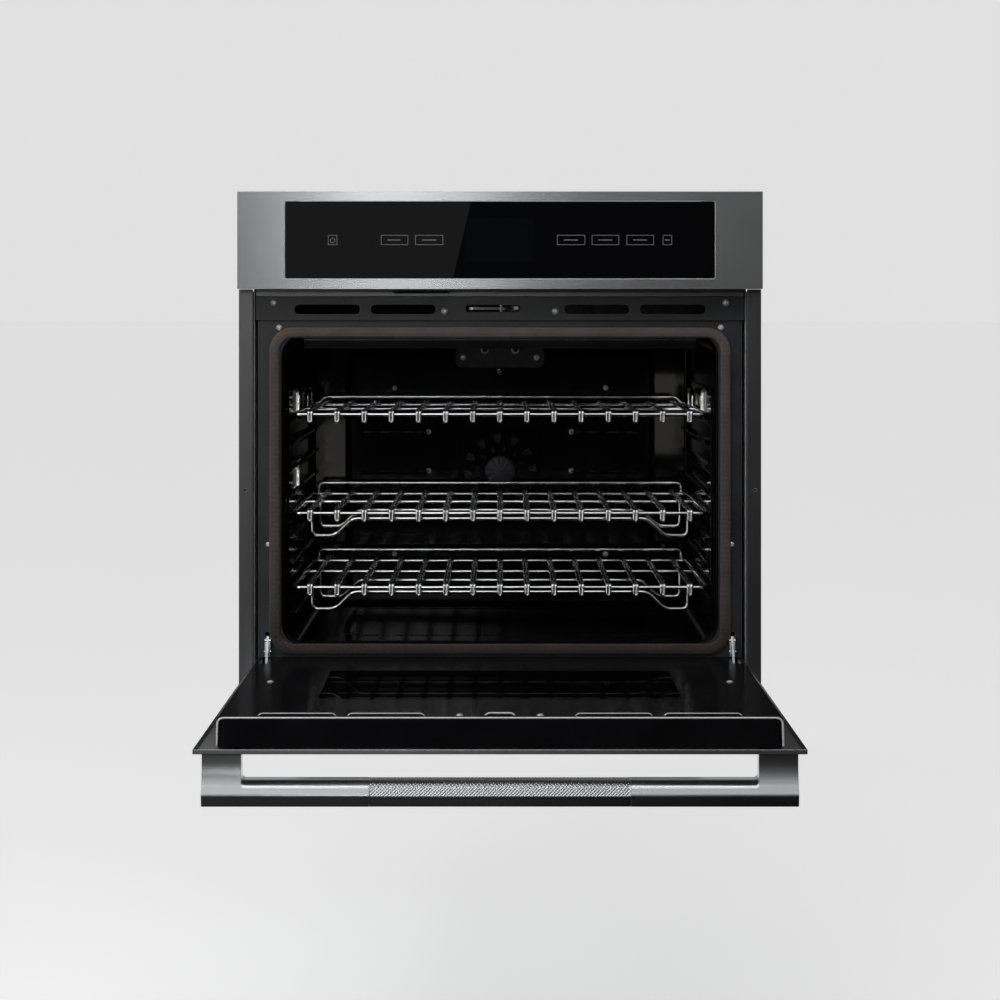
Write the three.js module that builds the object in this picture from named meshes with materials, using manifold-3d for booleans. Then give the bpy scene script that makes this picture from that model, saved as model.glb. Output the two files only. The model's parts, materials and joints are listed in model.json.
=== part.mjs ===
// Built-in electric wall oven of the 30 inch class, with its drop-down door open.
//
// Units are millimetres, +X is to the right, +Y runs to the back, +Z is up.
// The assembly is drawn with y = 0 at the front of the side trims and z = 0 at the
// underside of the base pan, and is then moved so that the origin is the centre of
// that underside.

import * as THREE from 'three';
import { mergeVertices } from 'three/addons/utils/BufferGeometryUtils.js';
import Module from 'manifold-3d';

const wasm = await Module();
wasm.setup();

// ---------------------------------------------------------------- driving sizes

const GAP = 0.3;                 // clearance between pieces that touch
const SHEET = 1.5;               // folded sheet steel
const THIN = 1.2;                // trim and facing sheet

const BODY_HALF = 357;           // half width of the base pan and rear panel
const BODY_FRONT = 10;
const BODY_BACK = 590;
const BODY_TOP = 700;

const TRIM_INNER = 359.4;
const TRIM_OUTER = 379.8;
const TRIM_SCREW_Z = 301;

const PANEL_BOTTOM = 593;        // control panel
const PANEL_TOP = 733;
const PANEL_FRONT = -45;
const PANEL_HALF = 377.5;
const GLASS_HALF = 309;
const GLASS_BOTTOM = 607.7;
const GLASS_TOP = 719;

const STRIP_BOTTOM = 547.9;      // strip with the vent slots, over the cavity
const STRIP_TOP = 582.4;
const STRIP_FRONT = 4;
const STRIP_HALF = 355;
const VENT_SLOTS = [[94, 188], [204, 299]];
const VENT_LOW = 557;
const VENT_HIGH = 570.5;

const CAVITY_HALF = 312;
const CAVITY_FLOOR = 80;
const CAVITY_CEILING = 520;
const CAVITY_FRONT = 10.8;
const CAVITY_BACK = 494;
const CAVITY_CORNER = 25;
const FLANGE_FRONT = 9;

const GASKET_WIDTH = 15.5;
const GASKET_FRONT = -0.4;
const GASKET_HALF = 336;
const GASKET_BOTTOM = 61.5;
const GASKET_TOP = 537.5;

const GUIDE_PITCH = 36.2;        // vertical pitch of the rack positions
const TOP_RACK_Z = 409.7;
const GUIDE_COUNT = 9;
const RACK_HALF = 304;           // to the middle of the side wires
const RACK_FRONT = 28;
const RACK_DEPTH = 405;
const RACK_WIRE = 6;
const RACK_BARS = 15;
const BAR_PITCH = 39.7;
const BAR_HALF = 5;              // half width of a pair of bar wires
const BAR_UNDER = 2;             // underside and top of the bars over the rack's level
const BAR_OVER = 7.5;
const NOSE_DROP = 13;            // the bars' noses turn down this far
const DROP_FRAME_Y = [70, 235];  // the two dropped frames under a deep rack

const FAN_Z = 300;
const PROBE_Z = 463;
const BROIL_LEAD_Z = 498.5;      // where the elements' leads go through the back wall
const RING_LEAD_Z = 197;
const LEAD_X = [-25, 25];
const ELEMENT_ROD = 4;           // radius of the element sheaths
const BAFFLE_FRONT = 468.8;
const BAFFLE_HALF = 248;
const BAFFLE_TOP = 490;
const BAFFLE_BOTTOM = 110;

const LAMP_Y = 170;
const LAMPS = {
  lamp_left_upper: [-1, 421],
  lamp_left_lower: [-1, 307],
  lamp_right_upper: [1, 421],
};

const BLOWER_Y = 200;
const BLOWER_Z = 630;

const CASE_VENT_LOW = 640;       // stamped vents in the outer case
const CASE_VENT_HIGH = 648;

const GLAND_X = 225;             // supply gland, through the rear panel
const GLAND_Z = 650;
const GLAND_HOLE = 12;

const HINGE_Y = -24;             // axis that the door turns about
const HINGE_Z = 37;

const DOOR_FRONT = -45;          // the door is drawn closed
const DOOR_LIP = -39;
const DOOR_HALF = 378;
const DOOR_BOTTOM = 15;
const DOOR_TOP = 588;
const LINER_BACK = -1;
const LINER_HALF = 352.5;
const LINER_BOTTOM = 20;
const LINER_TOP = 578;
const WINDOW = { half: 235, low: 165, high: 430, corner: 12 };

const HANDLE_HALF = 370;
const HANDLE_OUT = 69;           // how far it stands off the door
const HANDLE_DEPTH = 35;
const HANDLE_LOW = 538;
const HANDLE_HIGH = 568;
const POST_WIDTH = 49;
const GRIP_HALF = 162;

// ---------------------------------------------------------------- solids

// A manifold solid from a closed three.js geometry.
function solid(geometry) {
  geometry.deleteAttribute('normal');
  geometry.deleteAttribute('uv');
  const merged = mergeVertices(geometry, 1e-4);
  return new wasm.Manifold(new wasm.Mesh({
    numProp: 3,
    vertProperties: merged.attributes.position.array,
    triVerts: Uint32Array.from(merged.index.array),
  }));
}

// A box between two values on each axis, given in any order.
function block(x0, x1, y0, y1, z0, z1) {
  const size = [Math.abs(x1 - x0), Math.abs(y1 - y0), Math.abs(z1 - z0)];
  const geometry = new THREE.BoxGeometry(...size);
  geometry.translate((x0 + x1) / 2, (y0 + y1) / 2, (z0 + z1) / 2);
  return solid(geometry);
}

// A rectangle with round corners.
function roundRect(u0, u1, v0, v1, r) {
  const shape = new THREE.Shape();
  shape.absarc(u1 - r, v0 + r, r, -Math.PI / 2, 0);
  shape.absarc(u1 - r, v1 - r, r, 0, Math.PI / 2);
  shape.absarc(u0 + r, v1 - r, r, Math.PI / 2, Math.PI);
  shape.absarc(u0 + r, v0 + r, r, Math.PI, Math.PI * 1.5);
  shape.closePath();
  return shape;
}

function polygon(points) {
  return new THREE.Shape(points.map(([u, v]) => new THREE.Vector2(u, v)));
}

function extrude(shape, depth, options = {}) {
  return new THREE.ExtrudeGeometry(shape, {
    depth,
    bevelEnabled: false,
    curveSegments: 4,
    ...options,
  });
}

// A shape drawn in x and z, extruded along y.
function alongY(shape, y0, y1, segments = 4) {
  const geometry = extrude(shape, y1 - y0, { curveSegments: segments });
  geometry.rotateX(Math.PI / 2);
  geometry.translate(0, y1, 0);
  return solid(geometry);
}

// A shape drawn in y and z, extruded along x.
function alongX(shape, x0, x1) {
  const geometry = extrude(shape, x1 - x0);
  const turn = new THREE.Matrix4().makeBasis(
    new THREE.Vector3(0, 1, 0),
    new THREE.Vector3(0, 0, 1),
    new THREE.Vector3(1, 0, 0),
  );
  geometry.applyMatrix4(turn);
  geometry.translate(x0, 0, 0);
  return solid(geometry);
}

function disc(u, v, r) {
  const shape = new THREE.Shape();
  shape.absarc(u, v, r, 0, Math.PI * 2);
  return shape;
}

const roundY = (x, z, r, y0, y1, segments = 4) => alongY(disc(x, z, r), y0, y1, segments);

function roundX(y, z, r, x0, x1, sides = 16) {
  const geometry = new THREE.CylinderGeometry(r, r, x1 - x0, sides);
  geometry.rotateZ(Math.PI / 2);
  geometry.translate((x0 + x1) / 2, y, z);
  return solid(geometry);
}

function roundZ(x, y, r, z0, z1, sides = 16) {
  const geometry = new THREE.CylinderGeometry(r, r, z1 - z0, sides);
  geometry.rotateX(Math.PI / 2);
  geometry.translate(x, y, (z0 + z1) / 2);
  return solid(geometry);
}

function join(...solids) {
  return solids.reduce((sum, next) => sum.add(next));
}

function cut(base, ...tools) {
  return tools.reduce((rest, tool) => rest.subtract(tool), base);
}

// A box shell with the named side open: the outside less an inside of wall w.
function openShell(x0, x1, y0, y1, z0, z1, open, w = SHEET) {
  const low = [x0 + w, y0 + w, z0 + w];
  const high = [x1 - w, y1 - w, z1 - w];
  const axis = 'xyz'.indexOf(open[1]);
  if (open[0] === '+') high[axis] += 2 * w;
  else low[axis] -= 2 * w;
  const inside = block(low[0], high[0], low[1], high[1], low[2], high[2]);
  return block(x0, x1, y0, y1, z0, z1).subtract(inside);
}

// A round bar bent through a list of points, with each corner rounded to radius bend.
function bentRod(points, r, bend, sides = 6) {
  const path = roundedPath(points.map((p) => new THREE.Vector3(...p)), bend);
  const rings = path.map((point, i) => {
    const before = path[Math.max(i - 1, 0)];
    const after = path[Math.min(i + 1, path.length - 1)];
    return { point, tangent: after.clone().sub(before).normalize() };
  });
  let side = new THREE.Vector3(0.31, 0.22, 0.92).cross(rings[0].tangent).normalize();
  const positions = [];
  for (const { point, tangent } of rings) {
    side = side.clone().addScaledVector(tangent, -side.dot(tangent)).normalize();
    const other = tangent.clone().cross(side);
    for (let k = 0; k < sides; k += 1) {
      const angle = (k / sides) * Math.PI * 2;
      const vertex = point.clone()
        .addScaledVector(side, r * Math.cos(angle))
        .addScaledVector(other, r * Math.sin(angle));
      positions.push(vertex.x, vertex.y, vertex.z);
    }
  }
  const index = [];
  for (let i = 0; i + 1 < rings.length; i += 1) {
    for (let k = 0; k < sides; k += 1) {
      const a = i * sides + k;
      const b = i * sides + ((k + 1) % sides);
      index.push(a, b, b + sides, a, b + sides, a + sides);
    }
  }
  const last = (rings.length - 1) * sides;
  for (let k = 1; k + 1 < sides; k += 1) {
    index.push(0, k + 1, k);
    index.push(last, last + k, last + k + 1);
  }
  const geometry = new THREE.BufferGeometry();
  geometry.setAttribute('position', new THREE.Float32BufferAttribute(positions, 3));
  geometry.setIndex(index);
  return solid(geometry);
}

// The points of a bent path: straight runs joined by short arcs of about the radius bend.
function roundedPath(corners, bend) {
  const path = [corners[0]];
  for (let i = 1; i + 1 < corners.length; i += 1) {
    const toBefore = corners[i - 1].clone().sub(corners[i]);
    const toAfter = corners[i + 1].clone().sub(corners[i]);
    const reach = Math.min(bend, toBefore.length() * 0.45, toAfter.length() * 0.45);
    const start = corners[i].clone().addScaledVector(toBefore.normalize(), reach);
    const end = corners[i].clone().addScaledVector(toAfter.normalize(), reach);
    const arc = new THREE.QuadraticBezierCurve3(start, corners[i], end);
    path.push(...arc.getPoints(3));
  }
  path.push(corners[corners.length - 1]);
  return path;
}

// ---------------------------------------------------------------- materials

function material(color, roughness, metalness) {
  return new THREE.MeshStandardMaterial({ color, roughness, metalness });
}

const stainless = material(0xb4b4b2, 0.35, 1);
const greySteel = material(0x707074, 0.45, 0.9);
const darkEnamel = material(0x4a4b50, 0.4, 0.2);
const blackEnamel = material(0x08080a, 0.15, 0);
const galvanised = material(0xa2a5a6, 0.5, 0.9);
const chrome = material(0xd8d8d8, 0.12, 1);
const blackGlass = material(0x101116, 0.06, 0);
const clearGlass = material(0x3a4044, 0.05, 0);
const braid = material(0x8d857c, 0.9, 0);
const wool = material(0xe2d48e, 1, 0);
const elementSteel = material(0x35363a, 0.5, 0.7);
const castMotor = material(0x2c2d30, 0.5, 0.6);
const circuitBoard = material(0x1f5a35, 0.5, 0);
const blackPlastic = material(0x1a1a1c, 0.5, 0);

// ---------------------------------------------------------------- assembly groups

const oven = new THREE.Group();
const body = new THREE.Group();
body.position.y = -(BODY_FRONT + BODY_BACK) / 2;
oven.add(body);

const door = new THREE.Group();
// Turned a quarter turn about the hinge axis, from closed to open.
door.rotation.x = Math.PI / 2;
door.position.set(0, HINGE_Y + HINGE_Z, HINGE_Z - HINGE_Y);
body.add(door);

function add(group, name, shape, look) {
  const { vertProperties, triVerts } = shape.getMesh();
  const geometry = new THREE.BufferGeometry();
  geometry.setAttribute('position', new THREE.BufferAttribute(vertProperties, 3));
  geometry.setIndex(new THREE.BufferAttribute(triVerts, 1));
  const mesh = new THREE.Mesh(geometry, look);
  mesh.name = name;
  group.add(mesh);
}

const SIDES = [['left', -1], ['right', 1]];

// ---------------------------------------------------------------- cabinet

function basePan() {
  const y0 = BODY_FRONT;
  return openShell(-BODY_HALF, BODY_HALF, y0, BODY_BACK, 0, 24, '+z');
}

// A flat side with a row of stamped vents near its top edge.
function sidePanel(side) {
  const inner = side * (BODY_HALF + GAP);
  const outer = side * (BODY_HALF + GAP + SHEET);
  const plate = block(inner, outer, BODY_FRONT, BODY_BACK, 2, BODY_TOP - GAP);
  const vents = [];
  for (let i = 0; i < 8; i += 1) {
    const y = 120 + 50 * i;
    vents.push(block(side * 350, side * 365, y, y + 30, CASE_VENT_LOW, CASE_VENT_HIGH));
  }
  return cut(plate, ...vents);
}

function rearPanel() {
  const plate = block(-BODY_HALF, BODY_HALF, 588.2, 589.7, 24.3, BODY_TOP - GAP);
  const vents = [];
  for (let i = 0; i < 6; i += 1) {
    const x = -300 + 50 * i;
    vents.push(block(x, x + 34, 580, 595, CASE_VENT_LOW, CASE_VENT_HIGH));
  }
  return cut(plate, ...vents, roundY(GLAND_X, GLAND_Z, GLAND_HOLE, 580, 595));
}

function topCover() {
  return block(-358.8, 358.8, BODY_FRONT, BODY_BACK, BODY_TOP, BODY_TOP + SHEET);
}

// An angle strip that closes the gap to the kitchen cabinet, with its fixing hole.
function sideTrim(side) {
  const face = block(side * TRIM_INNER, side * TRIM_OUTER, 0, 3, 10, PANEL_BOTTOM - GAP);
  const leg = block(side * TRIM_INNER, side * (TRIM_INNER + THIN), 2, 22, 10, 590);
  const hole = roundY(side * 371, TRIM_SCREW_Z, 2.6, -1, 4);
  return cut(join(face, leg), hole);
}

function bottomTrim() {
  const face = block(-TRIM_OUTER, TRIM_OUTER, -3, -1, 0.8, 9.7);
  const foot = block(-350, 350, -1.5, 9.7, 0.8, 2.3);
  return join(face, foot);
}

function upperRail() {
  const rail = openShell(-STRIP_HALF, STRIP_HALF, 2, 12, STRIP_TOP + GAP, PANEL_BOTTOM - GAP,
    '+y', THIN);
  return cut(rail, block(-155, -73, 0, 4, 587, 591));
}

function ventStrip() {
  const strip = openShell(-STRIP_HALF, STRIP_HALF, STRIP_FRONT, 13, STRIP_BOTTOM, STRIP_TOP,
    '+y', THIN);
  const slots = [alongY(roundRect(-50, 29, 560, 570, 3), 0, 8, 2)];
  for (const [, side] of SIDES) {
    for (const [from, to] of VENT_SLOTS) {
      const low = Math.min(side * from, side * to);
      const high = Math.max(side * from, side * to);
      slots.push(alongY(roundRect(low, high, VENT_LOW, VENT_HIGH, 6.5), 0, 8, 2));
    }
  }
  return cut(strip, ...slots);
}

// ---------------------------------------------------------------- cavity

function cavityOutline(grow) {
  return roundRect(-CAVITY_HALF - grow, CAVITY_HALF + grow, CAVITY_FLOOR - grow,
    CAVITY_CEILING + grow, CAVITY_CORNER + grow);
}

// The flange round the cavity mouth, with the sloping lip over it.
function cavityFrontFrame() {
  const y0 = FLANGE_FRONT;
  const y1 = FLANGE_FRONT + SHEET;
  const plate = block(-353, 353, y0, y1, 26, STRIP_BOTTOM - GAP);
  const mouth = alongY(cavityOutline(0.8), y0 - 1, y1 + 1);
  const hingeSlots = SIDES.map(([, side]) => block(side * 333, side * 343, 0, 20, 38, 93));
  const lip = polygon([[y0, 518.2], [29.5, 506.5], [31, 506.5], [31, 508], [y1 + 0.1, 519.6],
    [y1, 521.5], [y0, 521.5]]);
  return join(cut(plate, mouth, ...hingeSlots), alongX(lip, -288, 288));
}

function lampWindow(side, z, grow) {
  return block(side * 300, side * (CAVITY_HALF + 40 + grow), LAMP_Y - 33 - grow,
    LAMP_Y + 33 + grow, z - 22 - grow, z + 22 + grow);
}

function cavityWrapper() {
  const outside = alongY(cavityOutline(SHEET), CAVITY_FRONT, CAVITY_BACK);
  const inside = alongY(cavityOutline(0), CAVITY_FRONT - 1, CAVITY_BACK + 1);
  const windows = Object.values(LAMPS).map(([side, z]) => lampWindow(side, z, 0));
  return cut(outside, inside, ...windows);
}

function cavityBackPanel() {
  const panel = alongY(cavityOutline(SHEET), CAVITY_BACK + GAP, CAVITY_BACK + GAP + SHEET);
  const holes = [roundY(0, FAN_Z, 8, 490, 500)];
  for (const x of LEAD_X) {
    holes.push(roundY(x, BROIL_LEAD_Z, ELEMENT_ROD + 2, 490, 500));
    holes.push(roundY(x, RING_LEAD_Z, ELEMENT_ROD + 2, 490, 500));
  }
  holes.push(roundY(0, PROBE_Z, 5, 490, 500));
  return cut(panel, ...holes);
}

// Glass wool round the sides and back of the cavity.
function insulationBlanket() {
  const outside = block(-346, 346, 14, 525, 52, 546);
  const inside = block(-314.2, 314.2, 13, 500, 64, 522.2);
  const window = block(-75, 75, 490, 530, 190, 375);
  const hinges = SIDES.map(([, side]) => block(side * 329, side * 350, 10, 124, 40, 104));
  const lamps = Object.values(LAMPS).map(([side, z]) => lampWindow(side, z, 2));
  const leads = block(-40, 40, 490, 530, 455, 512);
  return cut(outside, inside, window, leads, ...hinges, ...lamps);
}

function doorGasket() {
  const outer = roundRect(-GASKET_HALF, GASKET_HALF, GASKET_BOTTOM, GASKET_TOP, 34);
  const w = GASKET_WIDTH;
  const inner = roundRect(-GASKET_HALF + w, GASKET_HALF - w, GASKET_BOTTOM + w,
    GASKET_TOP - w, 34 - w + 4);
  const y1 = FLANGE_FRONT - GAP;
  return cut(alongY(outer, GASKET_FRONT, y1, 6), alongY(inner, GASKET_FRONT - 1, y1 + 1, 6));
}

const guideLevel = (i) => TOP_RACK_Z - GUIDE_PITCH * (GUIDE_COUNT - 1 - i);

// A stamped wall with a ledge under each rack position.
function rackGuide(side) {
  const wall = block(side * 311.7, side * 310.5, 40, 465, 106, 448);
  const ledges = [];
  for (let i = 0; i < GUIDE_COUNT; i += 1) {
    const top = guideLevel(i) - RACK_WIRE / 2 - GAP;
    const ledge = polygon([[side * 311, top - 8], [side * 300.5, top - 2.5],
      [side * 300.5, top], [side * 311, top]]);
    ledges.push(alongY(ledge, 44, 461, 1));
  }
  const windows = Object.values(LAMPS)
    .filter(([lampSide]) => lampSide === side)
    .map(([, z]) => lampWindow(side, z, 1));
  return cut(join(wall, ...ledges), ...windows);
}

// ---------------------------------------------------------------- racks

// Each bar runs front to back on top of the loop and is turned down at its nose.
function rackBars(z, back) {
  const bars = [];
  const top = z + BAR_OVER;
  const low = z + BAR_UNDER;
  const nose = RACK_FRONT - 8;
  const noseBack = nose + 5.5;
  const outline = polygon([[nose, z - NOSE_DROP], [noseBack, z - NOSE_DROP], [noseBack, low],
    [back, low], [back, top], [nose, top]]);
  for (let i = 0; i < RACK_BARS; i += 1) {
    const x = (i - (RACK_BARS - 1) / 2) * BAR_PITCH;
    bars.push(alongX(outline, x - BAR_HALF, x + BAR_HALF));
  }
  return bars;
}

// The level grid of a rack: a loop of four wires, a cross wire, and the bars.
function rackGrid(z) {
  const h = RACK_WIRE / 2;
  const back = RACK_FRONT + RACK_DEPTH;
  const wires = [RACK_FRONT, 260, back].map((y) => crossWire(y, z, RACK_HALF + h));
  for (const [, side] of SIDES) {
    wires.push(block(side * (RACK_HALF - h), side * (RACK_HALF + h), RACK_FRONT, back,
      z - h, z + h));
  }
  return join(...wires, ...rackBars(z, back));
}

function crossWire(y, z, half) {
  const h = RACK_WIRE / 2;
  return block(-half, half, y - h, y + h, z - h, z + h);
}

// The flat rack: its back wire stands 13 mm up, and each side has a stop loop.
function flatRack(z) {
  const h = RACK_WIRE / 2;
  const back = RACK_FRONT + RACK_DEPTH;
  const parts = [rackGrid(z), block(-290, 290, back - h, back + h, z + 1, z + 16)];
  for (const [, side] of SIDES) {
    const x0 = side * (RACK_HALF - h);
    const x1 = side * (RACK_HALF + h);
    parts.push(block(x0, x1, 318, 324, z, z + 30));
    parts.push(block(x0, x1, 318, 402, z + 24, z + 30));
    parts.push(block(x0, x1, 396, 402, z, z + 30));
  }
  return join(...parts);
}

// A frame wire under a deep rack: level in the middle, and stepped down at both ends.
function dropFrame(y, z, top) {
  const h = RACK_WIRE / 2;
  const wires = [block(-218, 218, y - h, y + h, z - 14, z - 8),
    block(-h, h, y - h, y + h, z - 12, top)];
  for (const [, side] of SIDES) {
    const drop = [[side * 281, z - 39], [side * 281, top], [side * 275, top],
      [side * 275, z - 33], [side * 246, z - 33], [side * 221, z - 8],
      [side * 215, z - 8], [side * 215, z - 14], [side * 218, z - 14],
      [side * 243, z - 39]];
    wires.push(alongY(polygon(drop), y - h, y + h));
  }
  return join(...wires);
}

// The two dropped wires and the runners between them, just under the rack's bars.
function rackFrame(z) {
  const h = RACK_WIRE / 2;
  const top = z + BAR_UNDER - GAP;
  const [near, far] = DROP_FRAME_Y;
  const runners = SIDES.map(([, side]) => block(side * 275, side * 281, near - h, far + h,
    top - RACK_WIRE, top));
  return join(...runners, ...DROP_FRAME_Y.map((y) => dropFrame(y, z, top)));
}

// The grid of a deep rack, with a raised rail along the back.
function raisedRack(z) {
  const h = RACK_WIRE / 2;
  const back = RACK_FRONT + RACK_DEPTH;
  const posts = SIDES.map(([, side]) => block(side * 291, side * 297, back - h, back + h,
    z, z + 18));
  const rail = join(crossWire(back, z + 18, 297), ...posts);
  return join(rackGrid(z), rail);
}

// ---------------------------------------------------------------- heating and fans

// A pressed cover with sloping sides, louvres, and a flower of holes over the fan.
function fanBaffle() {
  const y1 = CAVITY_BACK - GAP;
  const outline = roundRect(-BAFFLE_HALF, BAFFLE_HALF, BAFFLE_BOTTOM, BAFFLE_TOP, 12);
  const core = roundRect(-BAFFLE_HALF + THIN, BAFFLE_HALF - THIN, BAFFLE_BOTTOM + THIN,
    BAFFLE_TOP - THIN, 11);
  const holes = [roundY(0, PROBE_Z, 5, 460, 480)];
  for (let i = 0; i < 12; i += 1) {
    const angle = (i / 12) * Math.PI * 2;
    const c = Math.cos(angle);
    const s = Math.sin(angle);
    holes.push(roundY(56 * c, FAN_Z + 56 * s, 9, 460, 475, 3));
    holes.push(roundY(37 * c, FAN_Z + 37 * s, 5, 460, 475, 2));
  }
  for (const [, side] of SIDES) {
    for (const z of [FAN_Z, 364]) {
      holes.push(block(side * 132, side * 229, 460, 475, z - 4, z + 4));
    }
  }
  const shell = cut(alongY(outline, BAFFLE_FRONT, y1), alongY(core, BAFFLE_FRONT + THIN, y1 + 1));
  return cut(shell, ...holes);
}

function convectionElement() {
  const ring = new THREE.TorusGeometry(84, ELEMENT_ROD, 6, 24);
  ring.rotateX(Math.PI / 2);
  ring.translate(0, 483, FAN_Z);
  const leads = LEAD_X.map((x) => bentRod([[x, 483, FAN_Z - 80], [x, 483, RING_LEAD_Z],
    [x, 510, RING_LEAD_Z]], ELEMENT_ROD, 8));
  return join(solid(ring), ...leads);
}

// The impeller on its motor shaft: a back disc, a hub and blades set square to the disc.
function convectionFan() {
  const parts = [roundY(0, FAN_Z, 60, 490, 491.2, 8), roundY(0, FAN_Z, 9, 473, 491, 4)];
  parts.push(roundY(0, FAN_Z, 4, 485, 548, 4));
  for (let i = 0; i < 10; i += 1) {
    const blade = new THREE.BoxGeometry(40, 15, 1.2);
    blade.translate(38, 482.8, 0);
    blade.rotateY((i / 10) * Math.PI * 2);
    blade.translate(0, 0, FAN_Z);
    parts.push(solid(blade));
  }
  return join(...parts);
}

function convectionMotor() {
  const plate = block(-52, 52, 497.5, 499, FAN_Z - 52, FAN_Z + 52);
  const stator = roundY(0, FAN_Z, 38, 499, 556, 8);
  return cut(join(plate, stator), roundY(0, FAN_Z, 4.8, 495, 560));
}

// The grill element: a flat loop hung under the ceiling, with its mounting plate on the
// two leads to the back.
function broilElement() {
  const z = 510;
  const lead = LEAD_X[1];
  const half = [[lead, 510, BROIL_LEAD_Z], [lead, 455, BROIL_LEAD_Z], [lead, 440, z],
    [245, 440, z], [245, 60, z], [165, 60, z], [165, 390, z], [85, 390, z], [85, 60, z]];
  const mirrored = half.map(([x, y, height]) => [-x, y, height]).reverse();
  const plate = alongY(roundRect(-73, 73, 469, 505, 14), 465.3, 468.3);
  return join(bentRod([...half, ...mirrored], ELEMENT_ROD, 18), plate);
}

// The lower element lies between the cavity floor and the glass wool.
function bakeElement() {
  const z = 71;
  return bentRod([[-30, 490, z], [-30, 440, z], [-240, 440, z], [-240, 60, z], [-120, 60, z],
    [-120, 380, z], [0, 380, z], [0, 60, z], [120, 60, z], [120, 380, z], [180, 380, z],
    [180, 60, z], [240, 60, z], [240, 440, z], [30, 440, z], [30, 490, z]], ELEMENT_ROD, 18);
}

const temperatureProbe = () => roundY(0, PROBE_Z, 3.2, 380, 505);

// A lamp box let into the side wall, with its lens frame facing the cavity.
function lamp(side, z) {
  const box = block(side * 311, side * 340, LAMP_Y - 32.5, LAMP_Y + 32.5, z - 21.5, z + 21.5);
  const pocket = block(side * 308, side * 316, LAMP_Y - 27, LAMP_Y + 27, z - 16, z + 16);
  return cut(box, pocket);
}

// ---------------------------------------------------------------- cooling blower

function plenumPlate() {
  const plate = block(-354, 354, 14, 586, 583.4, 584.9);
  return cut(plate, block(-98, 98, 152, 235, 580, 590));
}

function blowerHousing() {
  const shell = openShell(-108, 108, 160, 240, 586, 672, '-z');
  const inlet = roundX(BLOWER_Y, BLOWER_Z, 6, -112, 112, 8);
  const intake = [];
  for (let i = 0; i < 4; i += 1) {
    intake.push(block(-90 + 48 * i, -60 + 48 * i, 170, 230, 668, 675));
  }
  return cut(shell, inlet, ...intake);
}

// A drum of long blades between three discs, on a shaft to the motor.
function blowerWheel() {
  const parts = [roundX(BLOWER_Y, BLOWER_Z, 4, -104, 146, 8)];
  for (const x of [-101, -1, 99]) {
    parts.push(roundX(BLOWER_Y, BLOWER_Z, 31, x, x + 2, 12));
  }
  for (let i = 0; i < 12; i += 1) {
    const blade = new THREE.BoxGeometry(200, 1.4, 9);
    blade.translate(0, 0, 25.5);
    blade.rotateX((i / 12) * Math.PI * 2);
    blade.translate(0, BLOWER_Y, BLOWER_Z);
    parts.push(solid(blade));
  }
  return join(...parts);
}

function blowerMotor() {
  const can = roundX(BLOWER_Y, BLOWER_Z, 30, 110, 150, 24);
  const foot = block(112, 148, 175, 225, 586, 606);
  return cut(join(can, foot), roundX(BLOWER_Y, BLOWER_Z, 4.6, 108, 152, 8));
}

// ---------------------------------------------------------------- controls

function controlFascia() {
  const shell = openShell(-PANEL_HALF, PANEL_HALF, PANEL_FRONT, -GAP, PANEL_BOTTOM, PANEL_TOP,
    '+y');
  const opening = alongY(roundRect(-GLASS_HALF - 0.4, GLASS_HALF + 0.4, GLASS_BOTTOM - 0.4,
    GLASS_TOP + 0.4, 3), PANEL_FRONT - 1, PANEL_FRONT + 3);
  return cut(shell, opening);
}

const controlGlass = () => alongY(roundRect(-GLASS_HALF, GLASS_HALF, GLASS_BOTTOM, GLASS_TOP,
  2.6), PANEL_FRONT + 0.4, PANEL_FRONT + 4.4);

// The board behind the glass, with the display on its front.
function displayBoard() {
  const parts = [block(-296, 296, -30.5, -28.9, 618, 708)];
  parts.push(block(-50, 50, -40.2, -30, 630, 697));
  for (const x of [-200, -120, 130, 210]) {
    parts.push(block(x - 14, x + 14, -29.2, -23, 640, 668));
  }
  return join(...parts);
}

// The lock. Its hook turns round the post, and folds away behind the slot.
const LATCH = { x: 2, y: 40, reach: 50, low: 563, high: 567 };

// The plate, the hook's pivot post, and the lock's gear motor.
function latchBase() {
  const plate = block(-58, 50, 16, 100, 555, 556.5);
  const post = roundZ(LATCH.x, LATCH.y, 3, 556, 572, 12);
  const motor = roundZ(24, 78, 17, 556, 575, 16);
  return join(plate, post, motor, block(4, 44, 76, 80, 556, 560));
}

// Drawn with the hook folded to the left, behind the slot.
function latchHook() {
  const angle = THREE.MathUtils.degToRad(-146.6);
  const arm = new THREE.BoxGeometry(LATCH.reach, 12, LATCH.high - LATCH.low);
  arm.translate(LATCH.reach / 2, 0, 0);
  const tip = new THREE.CylinderGeometry(6, 6, LATCH.high - LATCH.low, 12);
  tip.rotateX(Math.PI / 2);
  tip.translate(LATCH.reach, 0, 0);
  const eye = new THREE.CylinderGeometry(9, 9, LATCH.high - LATCH.low, 16);
  eye.rotateX(Math.PI / 2);
  const parts = [arm, tip, eye].map((piece) => {
    piece.rotateZ(angle);
    piece.translate(LATCH.x, LATCH.y, (LATCH.low + LATCH.high) / 2);
    return solid(piece);
  });
  return cut(join(...parts), roundZ(LATCH.x, LATCH.y, 3.4, 560, 570, 12));
}

function doorSwitch() {
  const shell = block(16, 31, 27, 52, 558, 574);
  return cut(shell, block(19.5, 27.5, 26, 42, 562.5, 568.5));
}

const switchPlunger = () => block(20, 27, -0.6, 35, 563, 568);

function junctionBox() {
  const shell = openShell(175, 275, 500, 587.5, 600, 690, '+z', 2);
  return cut(shell, roundY(GLAND_X, GLAND_Z, GLAND_HOLE, 580, 590));
}

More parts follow.
